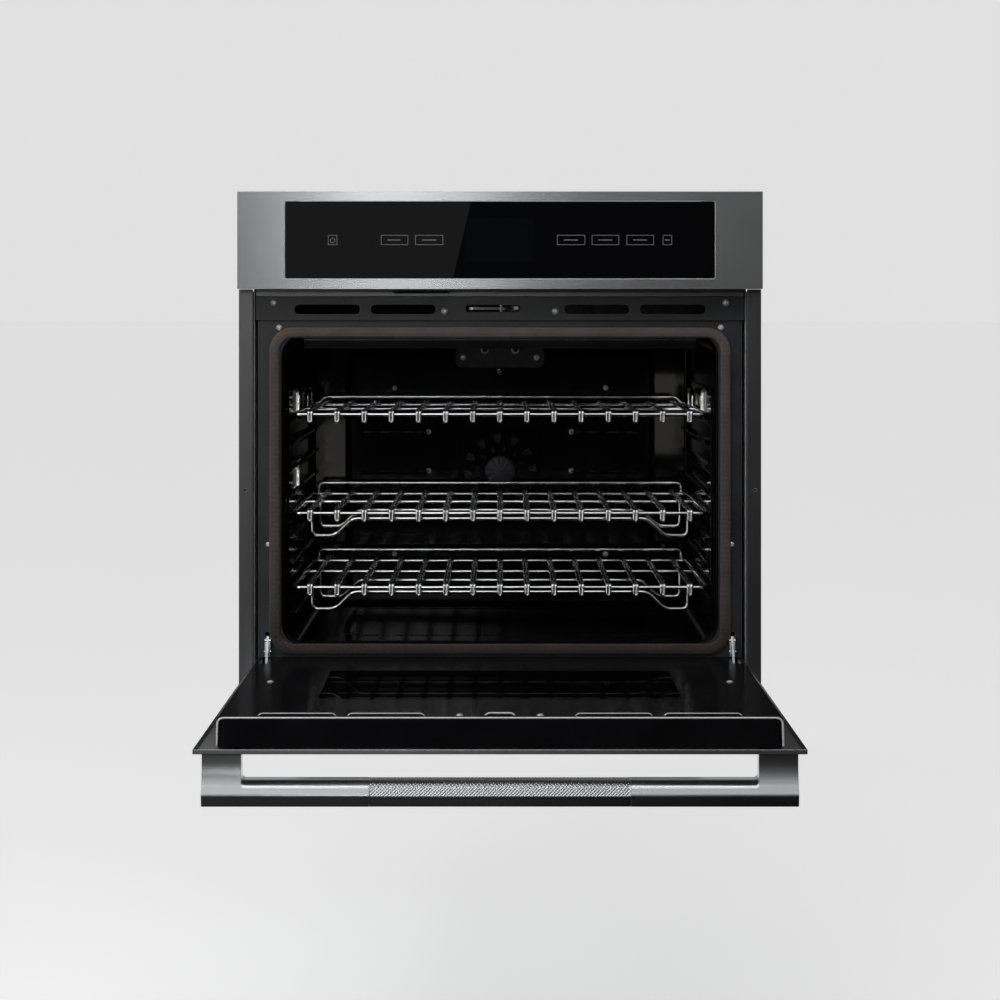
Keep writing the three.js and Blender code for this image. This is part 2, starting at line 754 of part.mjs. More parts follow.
// A cable gland through the rear panel, with a bore for the supply conduit.
function conduitGland() {
  const thread = roundY(GLAND_X, GLAND_Z, 10.4, 576, 592);
  const nut = roundY(GLAND_X, GLAND_Z, 17, 590, 602, 2);
  const bore = roundY(GLAND_X, GLAND_Z, 8, 570, 610);
  return cut(join(thread, nut), bore);
}

// ---------------------------------------------------------------- hinges

function hingeReceiver(side) {
  const shell = block(side * 331, side * 345, 13, 120, 42, 98);
  return cut(shell, block(side * 333.5, side * 342.5, 12, 117, 44.5, 95.5));
}

// The arm hooks into the receiver and carries the pivot eye in front of the oven.
function hingeArm(side) {
  const plate = polygon([[HINGE_Y, HINGE_Z + 9], [-4, 76], [3, 88], [18, 88], [30, 78],
    [100, 78], [100, 60], [14, 50], [-6, 41], [HINGE_Y + 4, HINGE_Z - 8.5],
    [HINGE_Y - 4, HINGE_Z - 8.5], [HINGE_Y - 8.5, HINGE_Z - 4], [HINGE_Y - 8.5, HINGE_Z + 4]]);
  const low = Math.min(side * 336.2, side * 339.8);
  const arm = alongX(plate, low, low + 3.6);
  return cut(arm, roundX(HINGE_Y, HINGE_Z, 4.4, low - 1, low + 5, 12));
}

// The channel in the door that turns about the arm on a riveted pin.
function hingeChannel(side) {
  const shell = block(side * 330, side * 346, -36, -4, 24, 210);
  const inside = block(side * 331.5, side * 344.5, -34.5, -3, 23, 208.5);
  const low = Math.min(side * 331, side * 345);
  return join(cut(shell, inside), roundX(HINGE_Y, HINGE_Z, 4, low, low + 14, 12));
}

// ---------------------------------------------------------------- door

function windowOutline(grow) {
  return roundRect(-WINDOW.half - grow, WINDOW.half + grow, WINDOW.low - grow,
    WINDOW.high + grow, WINDOW.corner);
}

function doorOuterPanel() {
  const w = THIN;
  const outside = block(-DOOR_HALF, DOOR_HALF, DOOR_FRONT, DOOR_LIP, DOOR_BOTTOM, DOOR_TOP);
  const inside = block(-DOOR_HALF + w, DOOR_HALF - w, DOOR_FRONT + w, DOOR_LIP + 1,
    DOOR_BOTTOM + w, DOOR_TOP - w);
  return cut(outside, inside, alongY(windowOutline(25), DOOR_FRONT - 1, DOOR_LIP));
}

const doorWindowGlass = () => block(-270, 270, DOOR_FRONT + THIN + GAP, DOOR_LIP - GAP,
  130, 465);

function doorMiddleGlass() {
  return block(-248, 248, -20, -16.8, 152, 443);
}

function doorInnerGlass() {
  return block(-248, 248, -6.6, -2.8, 152, 443);
}

function doorGlassFrame() {
  const outer = block(-250, 250, -16.5, -6.9, 150, 445);
  return cut(outer, block(-236, 236, -20, -2, 164, 431));
}

function doorLiner() {
  const outer = roundRect(-LINER_HALF, LINER_HALF, LINER_BOTTOM, LINER_TOP, 10);
  const inner = roundRect(-LINER_HALF + SHEET, LINER_HALF - SHEET, LINER_BOTTOM + SHEET,
    LINER_TOP - SHEET, 8.5);
  const shell = cut(alongY(outer, -38.5, LINER_BACK), alongY(inner, -40, LINER_BACK - SHEET));
  const tools = [alongY(windowOutline(0), -4, 1)];
  for (const [, side] of SIDES) {
    tools.push(block(side * 332, side * 344, -35, 1, 15, 96));
    for (const [from, to] of VENT_SLOTS) {
      tools.push(block(side * from, side * to, -4, 1, 563, 570));
    }
  }
  tools.push(block(-17.5, 17.5, -4, 1, 560, 570));
  return cut(shell, ...tools);
}

function doorInsulation() {
  const outer = block(-324, 324, -36, -3, 26, 536);
  return cut(outer, block(-252, 252, -40, 0, 148, 447));
}

// One C-shaped bar: two posts and the long grip, with a thinner core under the sleeve.
function handleBar() {
  const out = DOOR_FRONT - HANDLE_OUT;
  const bevel = 4;
  const shape = polygon([[-HANDLE_HALF + bevel, out + bevel], [HANDLE_HALF - bevel, out + bevel],
    [HANDLE_HALF - bevel, DOOR_FRONT - GAP - bevel],
    [HANDLE_HALF - POST_WIDTH + bevel, DOOR_FRONT - GAP - bevel],
    [HANDLE_HALF - POST_WIDTH + bevel, out + HANDLE_DEPTH - bevel + 7],
    [HANDLE_HALF - POST_WIDTH + bevel - 7, out + HANDLE_DEPTH - bevel],
    [-HANDLE_HALF + POST_WIDTH - bevel + 7, out + HANDLE_DEPTH - bevel],
    [-HANDLE_HALF + POST_WIDTH - bevel, out + HANDLE_DEPTH - bevel + 7],
    [-HANDLE_HALF + POST_WIDTH - bevel, DOOR_FRONT - GAP - bevel],
    [-HANDLE_HALF + bevel, DOOR_FRONT - GAP - bevel]]);
  const geometry = extrude(shape, HANDLE_HIGH - HANDLE_LOW - 2 * bevel, {
    bevelEnabled: true, bevelSize: bevel, bevelThickness: bevel, bevelSegments: 1,
  });
  geometry.translate(0, 0, HANDLE_LOW + bevel);
  const sleeveRoom = block(-GRIP_HALF - GAP, GRIP_HALF + GAP, out - 2, out + HANDLE_DEPTH + 2,
    HANDLE_LOW - 2, HANDLE_HIGH + 2);
  const core = block(-GRIP_HALF - 2, GRIP_HALF + 2, out + 7, out + HANDLE_DEPTH - 7,
    HANDLE_LOW + 7, HANDLE_HIGH - 7);
  return join(cut(solid(geometry), sleeveRoom), core);
}

function handleGrip() {
  const y0 = DOOR_FRONT - HANDLE_OUT;
  const y1 = y0 + HANDLE_DEPTH;
  const c = 4;
  const section = polygon([[y0 + c, HANDLE_LOW], [y1 - c, HANDLE_LOW], [y1, HANDLE_LOW + c],
    [y1, HANDLE_HIGH - c], [y1 - c, HANDLE_HIGH], [y0 + c, HANDLE_HIGH],
    [y0, HANDLE_HIGH - c], [y0, HANDLE_LOW + c]]);
  const bore = block(-GRIP_HALF - 1, GRIP_HALF + 1, y0 + 7 - GAP, y1 - 7 + GAP,
    HANDLE_LOW + 7 - GAP, HANDLE_HIGH - 7 + GAP);
  return cut(alongX(section, -GRIP_HALF, GRIP_HALF), bore);
}

// ---------------------------------------------------------------- the whole oven

add(body, 'base_pan', basePan(), galvanised);
add(body, 'rear_panel', rearPanel(), galvanised);
add(body, 'top_cover', topCover(), galvanised);
add(body, 'bottom_trim', bottomTrim(), greySteel);
add(body, 'upper_rail', upperRail(), greySteel);
add(body, 'vent_strip', ventStrip(), darkEnamel);
add(body, 'cavity_front_frame', cavityFrontFrame(), darkEnamel);
add(body, 'cavity_wrapper', cavityWrapper(), blackEnamel);
add(body, 'cavity_back_panel', cavityBackPanel(), blackEnamel);
add(body, 'insulation_blanket', insulationBlanket(), wool);
add(body, 'door_gasket', doorGasket(), braid);

for (const [word, side] of SIDES) {
  add(body, `${word}_side_panel`, sidePanel(side), galvanised);
  add(body, `${word}_trim`, sideTrim(side), greySteel);
  add(body, `rack_guide_${word}`, rackGuide(side), blackEnamel);
  add(body, `hinge_receiver_${word}`, hingeReceiver(side), galvanised);
  add(body, `hinge_arm_${word}`, hingeArm(side), galvanised);
  add(door, `hinge_channel_${word}`, hingeChannel(side), galvanised);
}

add(body, 'rack_upper', flatRack(TOP_RACK_Z), chrome);
add(body, 'rack_middle', raisedRack(guideLevel(4)), chrome);
add(body, 'rack_middle_frame', rackFrame(guideLevel(4)), chrome);
add(body, 'rack_lower', raisedRack(guideLevel(1)), chrome);
add(body, 'rack_lower_frame', rackFrame(guideLevel(1)), chrome);

add(body, 'fan_baffle', fanBaffle(), blackEnamel);
add(body, 'convection_element', convectionElement(), elementSteel);
add(body, 'convection_fan', convectionFan(), elementSteel);
add(body, 'convection_fan_motor', convectionMotor(), castMotor);
add(body, 'broil_element', broilElement(), elementSteel);
add(body, 'bake_element', bakeElement(), elementSteel);
add(body, 'temperature_probe', temperatureProbe(), chrome);
for (const [name, [side, z]] of Object.entries(LAMPS)) {
  add(body, name, lamp(side, z), clearGlass);
}

add(body, 'plenum_plate', plenumPlate(), galvanised);
add(body, 'blower_housing', blowerHousing(), galvanised);
add(body, 'blower_wheel', blowerWheel(), galvanised);
add(body, 'blower_motor', blowerMotor(), castMotor);

add(body, 'control_fascia', controlFascia(), stainless);
add(body, 'control_glass', controlGlass(), blackGlass);
add(body, 'display_board', displayBoard(), circuitBoard);
add(body, 'latch_base', latchBase(), galvanised);
add(body, 'latch_hook', latchHook(), chrome);
add(body, 'door_switch', doorSwitch(), blackPlastic);
add(body, 'door_switch_plunger', switchPlunger(), blackPlastic);
add(body, 'junction_box', junctionBox(), galvanised);
add(body, 'conduit_gland', conduitGland(), blackPlastic);

add(door, 'door_outer_panel', doorOuterPanel(), stainless);
add(door, 'door_window_glass', doorWindowGlass(), blackGlass);
add(door, 'door_middle_glass', doorMiddleGlass(), clearGlass);
add(door, 'door_inner_glass', doorInnerGlass(), blackGlass);
add(door, 'door_glass_frame', doorGlassFrame(), galvanised);
add(door, 'door_liner', doorLiner(), blackEnamel);
add(door, 'door_insulation', doorInsulation(), wool);
add(door, 'handle_bar', handleBar(), stainless);
add(door, 'handle_grip', handleGrip(), stainless);

export default oven;
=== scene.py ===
# Built-in wall oven: the detailed visual model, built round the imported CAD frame.
#
# Blender works in metres in the row frame: +X right, +Y to the back, +Z up, with the origin
# at the centre of the base pan's underside. The shapes below are worked out in millimetres
# in that frame, and piece() brings them to metres. The oven is shown with its door open.

import json
import math
import random

import bmesh
import bpy
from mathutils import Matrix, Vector

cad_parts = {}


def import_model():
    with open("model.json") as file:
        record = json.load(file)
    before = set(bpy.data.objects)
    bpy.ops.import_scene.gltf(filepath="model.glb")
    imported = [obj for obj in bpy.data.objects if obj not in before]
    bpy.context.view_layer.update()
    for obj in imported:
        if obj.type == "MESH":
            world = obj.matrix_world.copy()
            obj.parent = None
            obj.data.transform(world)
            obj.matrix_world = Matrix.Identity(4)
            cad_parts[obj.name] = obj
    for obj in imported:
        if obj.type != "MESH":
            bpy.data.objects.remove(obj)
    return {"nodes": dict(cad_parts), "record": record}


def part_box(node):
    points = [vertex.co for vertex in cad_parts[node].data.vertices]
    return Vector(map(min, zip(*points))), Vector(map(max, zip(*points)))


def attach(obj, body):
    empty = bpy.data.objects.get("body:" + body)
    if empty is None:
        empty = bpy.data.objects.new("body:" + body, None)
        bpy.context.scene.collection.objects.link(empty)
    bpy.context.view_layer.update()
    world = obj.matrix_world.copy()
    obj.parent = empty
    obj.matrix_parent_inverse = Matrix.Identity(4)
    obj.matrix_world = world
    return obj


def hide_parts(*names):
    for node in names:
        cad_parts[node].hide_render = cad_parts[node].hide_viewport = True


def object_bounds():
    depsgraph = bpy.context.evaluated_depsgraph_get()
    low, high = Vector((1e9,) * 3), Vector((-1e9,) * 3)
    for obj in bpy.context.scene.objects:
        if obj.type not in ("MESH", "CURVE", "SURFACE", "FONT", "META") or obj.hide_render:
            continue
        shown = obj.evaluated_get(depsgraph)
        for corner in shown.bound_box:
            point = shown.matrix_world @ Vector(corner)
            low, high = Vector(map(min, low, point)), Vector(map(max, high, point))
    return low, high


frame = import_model()
cad_low, cad_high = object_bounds()
nodes = frame["nodes"]
rng = random.Random(7)
MM = 0.001
SIDES = (("left", -1), ("right", 1))
FORWARD = (0, -1, 0)


# ------------------------------------------------------------------ materials

def ramp(tree, value, stops):
    """A colour ramp; each stop is (position, grey or colour)."""
    made = tree.nodes.new("ShaderNodeValToRGB")
    while len(made.color_ramp.elements) < len(stops):
        made.color_ramp.elements.new(0.5)
    for element, (position, colour) in zip(made.color_ramp.elements, stops):
        element.position = position
        rgb = (colour,) * 3 if isinstance(colour, (int, float)) else colour
        element.color = (*rgb, 1.0)
    tree.links.new(value, made.inputs["Fac"])
    return made.outputs["Color"]


def feed(tree, socket, value):
    """Links another node's output to a socket, or sets a plain value on it."""
    if isinstance(value, bpy.types.NodeSocket):
        tree.links.new(value, socket)
    else:
        socket.default_value = value


def shader_node(tree, kind, **inputs):
    """A new shader node with its inputs set or linked; an underscore stands for a space."""
    made = tree.nodes.new(kind)
    for socket, value in inputs.items():
        feed(tree, made.inputs[socket.replace("_", " ")], value)
    return made


def mixed(tree, factor, a, b, blend="MIX"):
    """Colour b laid over colour a."""
    made = shader_node(tree, "ShaderNodeMix", Factor=factor)
    made.data_type = "RGBA"
    made.blend_type = blend
    feed(tree, made.inputs[6], a)
    feed(tree, made.inputs[7], b)
    return made.outputs[2]


def tint(colour, factor):
    return tuple(min(1.0, c * factor) for c in colour)


class Finish:
    """A material in the making: its shader, its object coordinates, and the nodes added to it."""

    def __init__(self, name, colour, roughness, metallic=0.0):
        self.made = bpy.data.materials.new(name)
        self.made.use_nodes = True
        self.tree = self.made.node_tree
        self.shader = self.tree.nodes["Principled BSDF"]
        self.colour = colour
        self.coords = self.tree.nodes.new("ShaderNodeTexCoord").outputs["Object"]
        self.set(Base_Color=(*colour, 1.0), Roughness=roughness, Metallic=metallic)

    def set(self, **values):
        """Sets the shader's own sockets; an underscore stands for a space."""
        for socket, value in values.items():
            self.shader.inputs[socket.replace("_", " ")].default_value = value

    def node(self, kind, **inputs):
        return shader_node(self.tree, kind, **inputs)

    def noise(self, scale, stretch=(1, 1, 1), detail=3.0, rough=0.55):
        """Noise with scale features per metre, drawn out along each axis by its stretch."""
        mapping = self.node("ShaderNodeMapping", Vector=self.coords, Scale=[scale / s for s in stretch])
        return self.node("ShaderNodeTexNoise", Vector=mapping.outputs["Vector"], Scale=1.0,
                         Detail=detail, Roughness=rough).outputs["Fac"]

    def cells(self, scale):
        return self.node("ShaderNodeTexVoronoi", Vector=self.coords, Scale=scale)

    def ramp(self, value, *stops):
        return ramp(self.tree, value, stops)

    def drive(self, socket, value):
        self.tree.links.new(value, self.shader.inputs[socket])

    def tints(self, value, *stops):
        """Varies the colour; each stop is (position, factor)."""
        self.drive("Base Color", self.ramp(value, *[(at, tint(self.colour, f)) for at, f in stops]))

    def roughs(self, value, *stops):
        self.drive("Roughness", self.ramp(value, *stops))

    def maths(self, operation, a, b):
        made = self.node("ShaderNodeMath")
        made.operation = operation
        feed(self.tree, made.inputs[0], a)
        feed(self.tree, made.inputs[1], b)
        return made.outputs["Value"]

    def bump(self, height, strength, distance=0.0005):
        made = self.node("ShaderNodeBump", Strength=strength, Distance=distance, Height=height)
        self.drive("Normal", made.outputs["Normal"])


def brushed(name, colour, roughness, stretch, spread, grain, across=False):
    """Brushed metal: long fine scratches along the stretched axis, and slow smudges."""
    look = Finish(name, colour, roughness, 1.0)
    scratches = look.noise(grain, stretch, detail=1.5)
    smudges = look.noise(9.0, detail=2.0)
    look.tints(scratches, (0.3, 0.94), (0.7, 1.05))
    fine = look.ramp(scratches, (0.25, roughness - spread), (0.75, roughness + spread))
    look.drive("Roughness", look.maths("ADD", fine, look.ramp(smudges, (0.3, 0.0), (0.8, 0.02))))
    look.bump(scratches, 0.002, 0.0002)
    if across:
        # Highlights spread across the scratches, which run from side to side.
        turn = look.node("ShaderNodeTangent")
        turn.direction_type = "RADIAL"
        turn.axis = "Z"
        look.drive("Tangent", turn.outputs["Tangent"])
        look.set(Anisotropic=0.75, Anisotropic_Rotation=0.25)
    return look.made


def enamelled(name, colour, roughness, peel, speck=0.0, shine=0.5, ior=1.5):
    """Fired enamel or paint: gloss with a slight orange peel, and sparse specks."""
    look = Finish(name, colour, roughness)
    slow = look.noise(14.0)
    base = look.ramp(slow, (0.3, tint(colour, 0.8)), (0.75, tint(colour, 1.25)))
    if speck:
        near = look.ramp(look.cells(420.0).outputs["Distance"], (0.06, 1.0), (0.12, 0.0))
        picked = look.ramp(look.noise(160.0), (0.6, 0.0), (0.66, 1.0))
        dots = look.maths("MULTIPLY", near, picked)
        base = mixed(look.tree, dots, base, (speck, speck, speck * 1.1, 1.0))
    look.drive("Base Color", base)
    look.roughs(slow, (0.3, roughness * 0.8), (0.8, roughness * 1.3))
    look.bump(look.noise(260.0, detail=2.0), peel, 0.0004)
    look.set(Specular_IOR_Level=shine, IOR=ior)
    return look.made


def glossy_glass(name, colour, roughness, shine=0.5, ior=1.5):
    """Dark glass, printed black behind: clean gloss with faint wipe marks."""
    look = Finish(name, colour, roughness)
    wipes = look.noise(22.0, (3, 1, 1))
    look.tints(wipes, (0.35, 0.9), (0.7, 1.15))
    look.roughs(wipes, (0.45, roughness), (0.9, roughness + 0.02))
    look.set(Specular_IOR_Level=shine, IOR=ior)
    return look.made


def clear_glass():
    look = Finish("clear_glass", (0.85, 0.9, 0.9), 0.04)
    look.set(Transmission_Weight=0.85, IOR=1.47)
    look.roughs(look.noise(60.0), (0.3, 0.03), (0.8, 0.09))
    return look.made


def glowing_glass():
    """Ribbed lamp glass with the lamp's light caught in it."""
    look = Finish("lit_glass", (0.5, 0.52, 0.52), 0.1)
    look.set(Transmission_Weight=0.6, Emission_Color=(1.0, 0.97, 0.92, 1.0))
    ribs = look.noise(90.0, (1, 0.3, 4), detail=2.0)
    look.drive("Emission Strength", look.ramp(ribs, (0.35, 0.1), (0.7, 0.55)))
    return look.made


def chrome_plate():
    look = Finish("chrome_wire", (0.78, 0.78, 0.79), 0.12, 1.0)
    cloud = look.noise(45.0)
    look.tints(cloud, (0.3, 0.85), (0.7, 1.08))
    look.roughs(cloud, (0.25, 0.08), (0.8, 0.22))
    look.bump(look.noise(700.0, detail=2.0), 0.06, 0.0002)
    return look.made


def braid_cloth():
    """Woven glass fibre: crossing diagonal yarns in taupe, with dark gaps, and painted shade that darkens it
    low down.
    """
    colour = (0.115, 0.097, 0.086)
    look = Finish("gasket_braid", colour, 0.9)
    look.set(Sheen_Weight=0.25, Sheen_Roughness=0.5)
    waves = []
    for lean in (1.0, -1.0):
        lean_angle = lean * math.radians(45)
        turned = look.node("ShaderNodeMapping", Vector=look.coords, Rotation=(0.0, lean_angle, 0.0))
        waves.append(look.node("ShaderNodeTexWave", Vector=turned.outputs["Vector"], Scale=110.0,
                               Distortion=0.8).outputs["Fac"])
    weave = look.maths("MULTIPLY", *waves)
    yarn = look.ramp(weave, (0.0, tint(colour, 0.5)), (0.8, tint(colour, 1.5)))
    patchy = look.ramp(look.noise(35.0), (0.3, tint(colour, 0.7)), (0.75, tint(colour, 1.25)))
    height = look.node("ShaderNodeSeparateXYZ", Vector=look.coords).outputs["Z"]
    # Painted shade: the colour darkens towards the bottom of the gasket and lightens towards its top.
    painted_low_shade = look.ramp(height, (0.09, 0.3), (0.16, 0.62), (0.48, 0.85), (0.52, 1.1))
    look.drive("Base Color", mixed(look.tree, 1.0, mixed(look.tree, 0.6, yarn, patchy), painted_low_shade, "MULTIPLY"))
    look.bump(weave, 0.7, 0.0008)
    return look.made


def loose_wool():
    look = Finish("glass_wool", (0.72, 0.62, 0.3), 1.0)
    fibres = look.noise(420.0, (5, 5, 1), detail=6.0, rough=0.8)
    look.tints(fibres, (0.3, 0.55), (0.7, 1.2))
    look.bump(fibres, 0.9, 0.002)
    return look.made


def galvanised_sheet():
    look = Finish("galvanised", (0.55, 0.57, 0.58), 0.42, 0.9)
    spangle = look.cells(130.0).outputs["Color"]
    look.tints(spangle, (0.1, 0.8), (0.9, 1.15))
    look.roughs(spangle, (0.1, 0.34), (0.9, 0.52))
    look.bump(look.noise(90.0), 0.08)
    return look.made


def rough_metal(name, colour, roughness, metallic, scale, glow=0.0):
    look = Finish(name, colour, roughness, metallic)
    grain = look.noise(scale, detail=5.0, rough=0.7)
    look.tints(grain, (0.3, 0.7), (0.75, 1.4))
    look.roughs(grain, (0.3, roughness - 0.1), (0.8, roughness + 0.12))
    look.bump(grain, 0.3)
    if glow:
        look.set(Emission_Color=(*colour, 1.0), Emission_Strength=glow)
    return look.made


def circuit_board():
    """Green solder mask with lighter copper runs under it."""
    look = Finish("circuit_board", (0.015, 0.09, 0.04), 0.35)
    blocks = look.cells(170.0)
    blocks.distance = "CHEBYCHEV"
    look.tints(blocks.outputs["Distance"], (0.35, 1.0), (0.5, 2.6))
    look.bump(blocks.outputs["Distance"], 0.2, 0.0003)
    return look.made


STEEL = (0.49, 0.497, 0.505)
BLACK = (0.002, 0.002, 0.0026)
LOOKS = {
    "stainless": brushed("stainless", STEEL, 0.24, (140, 1, 1), 0.01, 1300.0, across=True),
    "trim_steel": brushed("trim_steel", (0.16, 0.16, 0.165), 0.3, (1, 1, 140), 0.018, 900.0),
    "galvanised": galvanised_sheet(),
    "dark_enamel": enamelled("dark_enamel", (0.022, 0.023, 0.026), 0.34, 0.06),
    "black_enamel": enamelled("black_enamel", BLACK, 0.09, 0.02, speck=0.015, shine=0.3),
    "chrome_wire": chrome_plate(),
    "black_glass": glossy_glass("black_glass", (0.003, 0.003, 0.004), 0.0),
    "clear_glass": clear_glass(),
    "gasket_braid": braid_cloth(),
    "glass_wool": loose_wool(),
    "element_steel": rough_metal("element_steel", (0.05, 0.05, 0.055), 0.5, 0.7, 220.0),
    "motor_iron": rough_metal("motor_iron", (0.03, 0.03, 0.033), 0.5, 0.6, 300.0),
    "circuit_board": circuit_board(),
    "black_plastic": enamelled("black_plastic", (0.02, 0.02, 0.022), 0.45, 0.35),
}
zinc_screw = rough_metal("zinc_screw", (0.8, 0.8, 0.81), 0.34, 0.6, 500.0)
printed_ink = rough_metal("printed_ink", (0.32, 0.34, 0.36), 0.5, 0.0, 900.0)
inner_glass = glossy_glass("inner_glass", (0.0015, 0.0015, 0.002), 0.02, shine=0.05, ior=1.03)
liner_enamel = enamelled("liner_enamel", (0.006, 0.006, 0.007), 0.16, 0.02, shine=0.2, ior=1.08)
cavity_enamel = enamelled("cavity_enamel", BLACK, 0.12, 0.02, speck=0.015, shine=0.3, ior=1.15)
# Near-white finish for edges, slot lips and the latch hook: a painted highlight where they catch the light.
painted_highlight_edge = rough_metal("painted_highlight_edge", (0.9, 0.9, 0.9), 0.3, 0.3, 600.0)
display_glass = glossy_glass("display_glass", (0.0035, 0.0045, 0.0055), 0.01)
bulb_glow = rough_metal("bulb_glow", (1.0, 0.95, 0.88), 0.4, 0.0, 400.0, glow=9.0)
pale_plastic = enamelled("pale_plastic", (0.62, 0.62, 0.6), 0.4, 0.2)
lit_glass = glowing_glass()

# The record's slot that each finish of a single piece is a variant of.
slot_of = {part["node"]: part["material_slot"] for part in frame["record"]["subparts"]}
body_of_node = {
    node: body for body, members in frame["record"]["behaviour"]["bodies"].items() for node in members
}
for name, cad in nodes.items():
    if not cad.material_slots:
        cad.data.materials.append(None)
    for place in cad.material_slots:
        place.material = LOOKS[slot_of[name]]


# ------------------------------------------------------------------ mesh helpers

def box(node):
    """A CAD node's lowest and highest corners, in millimetres."""
    low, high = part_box(node)
    return low / MM, high / MM


def smooth(mesh, sharp):
    mesh.polygons.foreach_set("use_smooth", [True] * len(mesh.polygons))
    mesh.set_sharp_from_angle(angle=math.radians(sharp))


def piece(name, bm, node, look=None, instead=False, sharp=35.0, unit=MM):
    """A finished visible piece that rides with a CAD node's body, in its slot's finish or in look.

    With instead, it stands for the node, which is hidden.
    """
    bmesh.ops.scale(bm, vec=(unit, unit, unit), verts=bm.verts)
    bmesh.ops.recalc_face_normals(bm, faces=bm.faces)
    mesh = bpy.data.meshes.new(name)
    bm.to_mesh(mesh)
    bm.free()
    made = bpy.data.objects.new(name, mesh)
    bpy.context.scene.collection.objects.link(made)
    finish = look or LOOKS[slot_of[node]]
    mesh.materials.append(finish)
    smooth(mesh, sharp)
    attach(made, body_of_node[node])
    if instead:
        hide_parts(node)
    return flat_faces_flat(made)


def flat_faces_flat(made):
    """Weights normals by area, so that a rounded edge does not tint the flat face beside it."""
    even = made.modifiers.new("even", "WEIGHTED_NORMAL")
    even.keep_sharp = True
    even.weight = 80
    return made


def thickened(bm, faces, thickness):
    """Gives an open sheet its thickness, behind the side that its faces look to."""
    bm.normal_update()
    bmesh.ops.solidify(bm, geom=faces, thickness=thickness)


def soften(made, width, segments=2, angle=30.0):
    """Rounds the piece's sharp edges, and applies it to the mesh."""
    made.modifiers.clear()
    bevel = made.modifiers.new("bevel", "BEVEL")
    bevel.width = width * MM
    bevel.segments = segments
    bevel.limit_method = "ANGLE"
    bevel.angle_limit = math.radians(angle)
    bevel.use_clamp_overlap = True
    graph = bpy.context.evaluated_depsgraph_get()
    made.data = bpy.data.meshes.new_from_object(made.evaluated_get(graph))
    made.modifiers.clear()
    smooth(made.data, 38)
    flat_faces_flat(made)


def refined(node, width, segments=2, look=None):
    """A copy of a CAD node's shape with its flat faces merged and its edges rounded."""
    bm = bmesh.new()
    bm.from_mesh(nodes[node].data)
    bmesh.ops.remove_doubles(bm, verts=bm.verts, dist=1e-6)
    bmesh.ops.dissolve_limit(bm, angle_limit=math.radians(0.5), verts=bm.verts, edges=bm.edges)
    soften(piece(f"{node}_finished", bm, node, look, instead=True, unit=1.0), width, segments)


def fillet(points, radius, steps=6):
    """The path with each corner rounded."""
    points = [Vector(p) for p in points]
    path = [points[0]]
    for before, corner, after in zip(points, points[1:], points[2:]):
        a, b = before - corner, after - corner
        reach = min(radius, a.length * 0.48, b.length * 0.48)
        start, end = corner + a.normalized() * reach, corner + b.normalized() * reach
        for i in range(steps + 1):
            t = i / steps
            path.append(start * (1 - t) ** 2 + corner * 2 * t * (1 - t) + end * t ** 2)
    return path + [points[-1]]


def bridge(bm, rings, closed=True):
    """Faces from each row of points to the next; closed joins a row's last point to its first."""
    made = []
    for a, b in zip(rings, rings[1:]):
        for k in range(len(a) if closed else len(a) - 1):
            n = (k + 1) % len(a)
            made.append(bm.faces.new((a[k], b[k], b[n], a[n])))
    return made


def caps(bm, first, last):
    bm.faces.new(list(reversed(first)))
    bm.faces.new(last)


def tube(bm, path, radius, sides=12):
    """A round rod along a path, with slightly rounded ends."""
    path = [Vector(p) for p in path]
    tangents = [(b - a).normalized() for a, b in zip([path[0]] + path[:-1], path[1:] + [path[-1]])]
    tangents[0] = (path[1] - path[0]).normalized()
    side = tangents[0].orthogonal().normalized()
    stations = [(path[0] - tangents[0] * radius * 0.25, tangents[0], 0.7)]
    stations += [(p, t, 1.0) for p, t in zip(path, tangents)]
    stations += [(path[-1] + tangents[-1] * radius * 0.25, tangents[-1], 0.7)]
    rings = []
    for centre, tangent, grow in stations:
        side = (side - tangent * side.dot(tangent)).normalized()
        other = tangent.cross(side)
        rings.append([bm.verts.new(centre + (side * math.cos(a) + other * math.sin(a)) * radius * grow)
                      for a in turns(sides)])
    bridge(bm, rings)
    caps(bm, rings[0], rings[-1])


def turns(count):
    """Evenly spaced angles round a circle."""
    return [2 * math.pi * k / count for k in range(count)]


def rounded_rect(u0, u1, v0, v1, radius, steps=8):
    """Points round a rectangle, anticlockwise, as (u, v, outward u, outward v)."""
    points = []
    corners = [(u1 - radius, v0 + radius, -90), (u1 - radius, v1 - radius, 0),
               (u0 + radius, v1 - radius, 90), (u0 + radius, v0 + radius, 180)]
    for u, v, start in corners:
        for i in range(steps + 1):
            angle = math.radians(start + 90 * i / steps)
            c, s = math.cos(angle), math.sin(angle)
            points.append((u + radius * c, v + radius * s, c, s))
    return points


def moved(outline, by):
    """The outline moved outward."""
    return [(u + nu * by, v + nv * by, nu, nv) for u, v, nu, nv in outline]


def spaced(outline, step):
    """The same closed outline with points added along its straight runs."""
    dense = []
    for a, b in zip(outline, outline[1:] + outline[:1]):
        pieces = max(1, round(math.hypot(b[0] - a[0], b[1] - a[1]) / step))
        for i in range(pieces):
            dense.append(tuple(p + (q - p) * i / pieces for p, q in zip(a, b)))
    return dense


def facing_front(u, v, w):
    return Vector((u, w, v))


def facing_up(u, v, w):
    return Vector((u, v, w))


def sweep_ring(bm, outline, profile, place):
    """A closed profile of (outward offset, depth) points carried round a closed outline."""
    rings = []
    for u, v, nu, nv in outline:
        rings.append([bm.verts.new(place(u + nu * off, v + nv * off, depth)) for off, depth in profile])
    bridge(bm, rings + rings[:1])


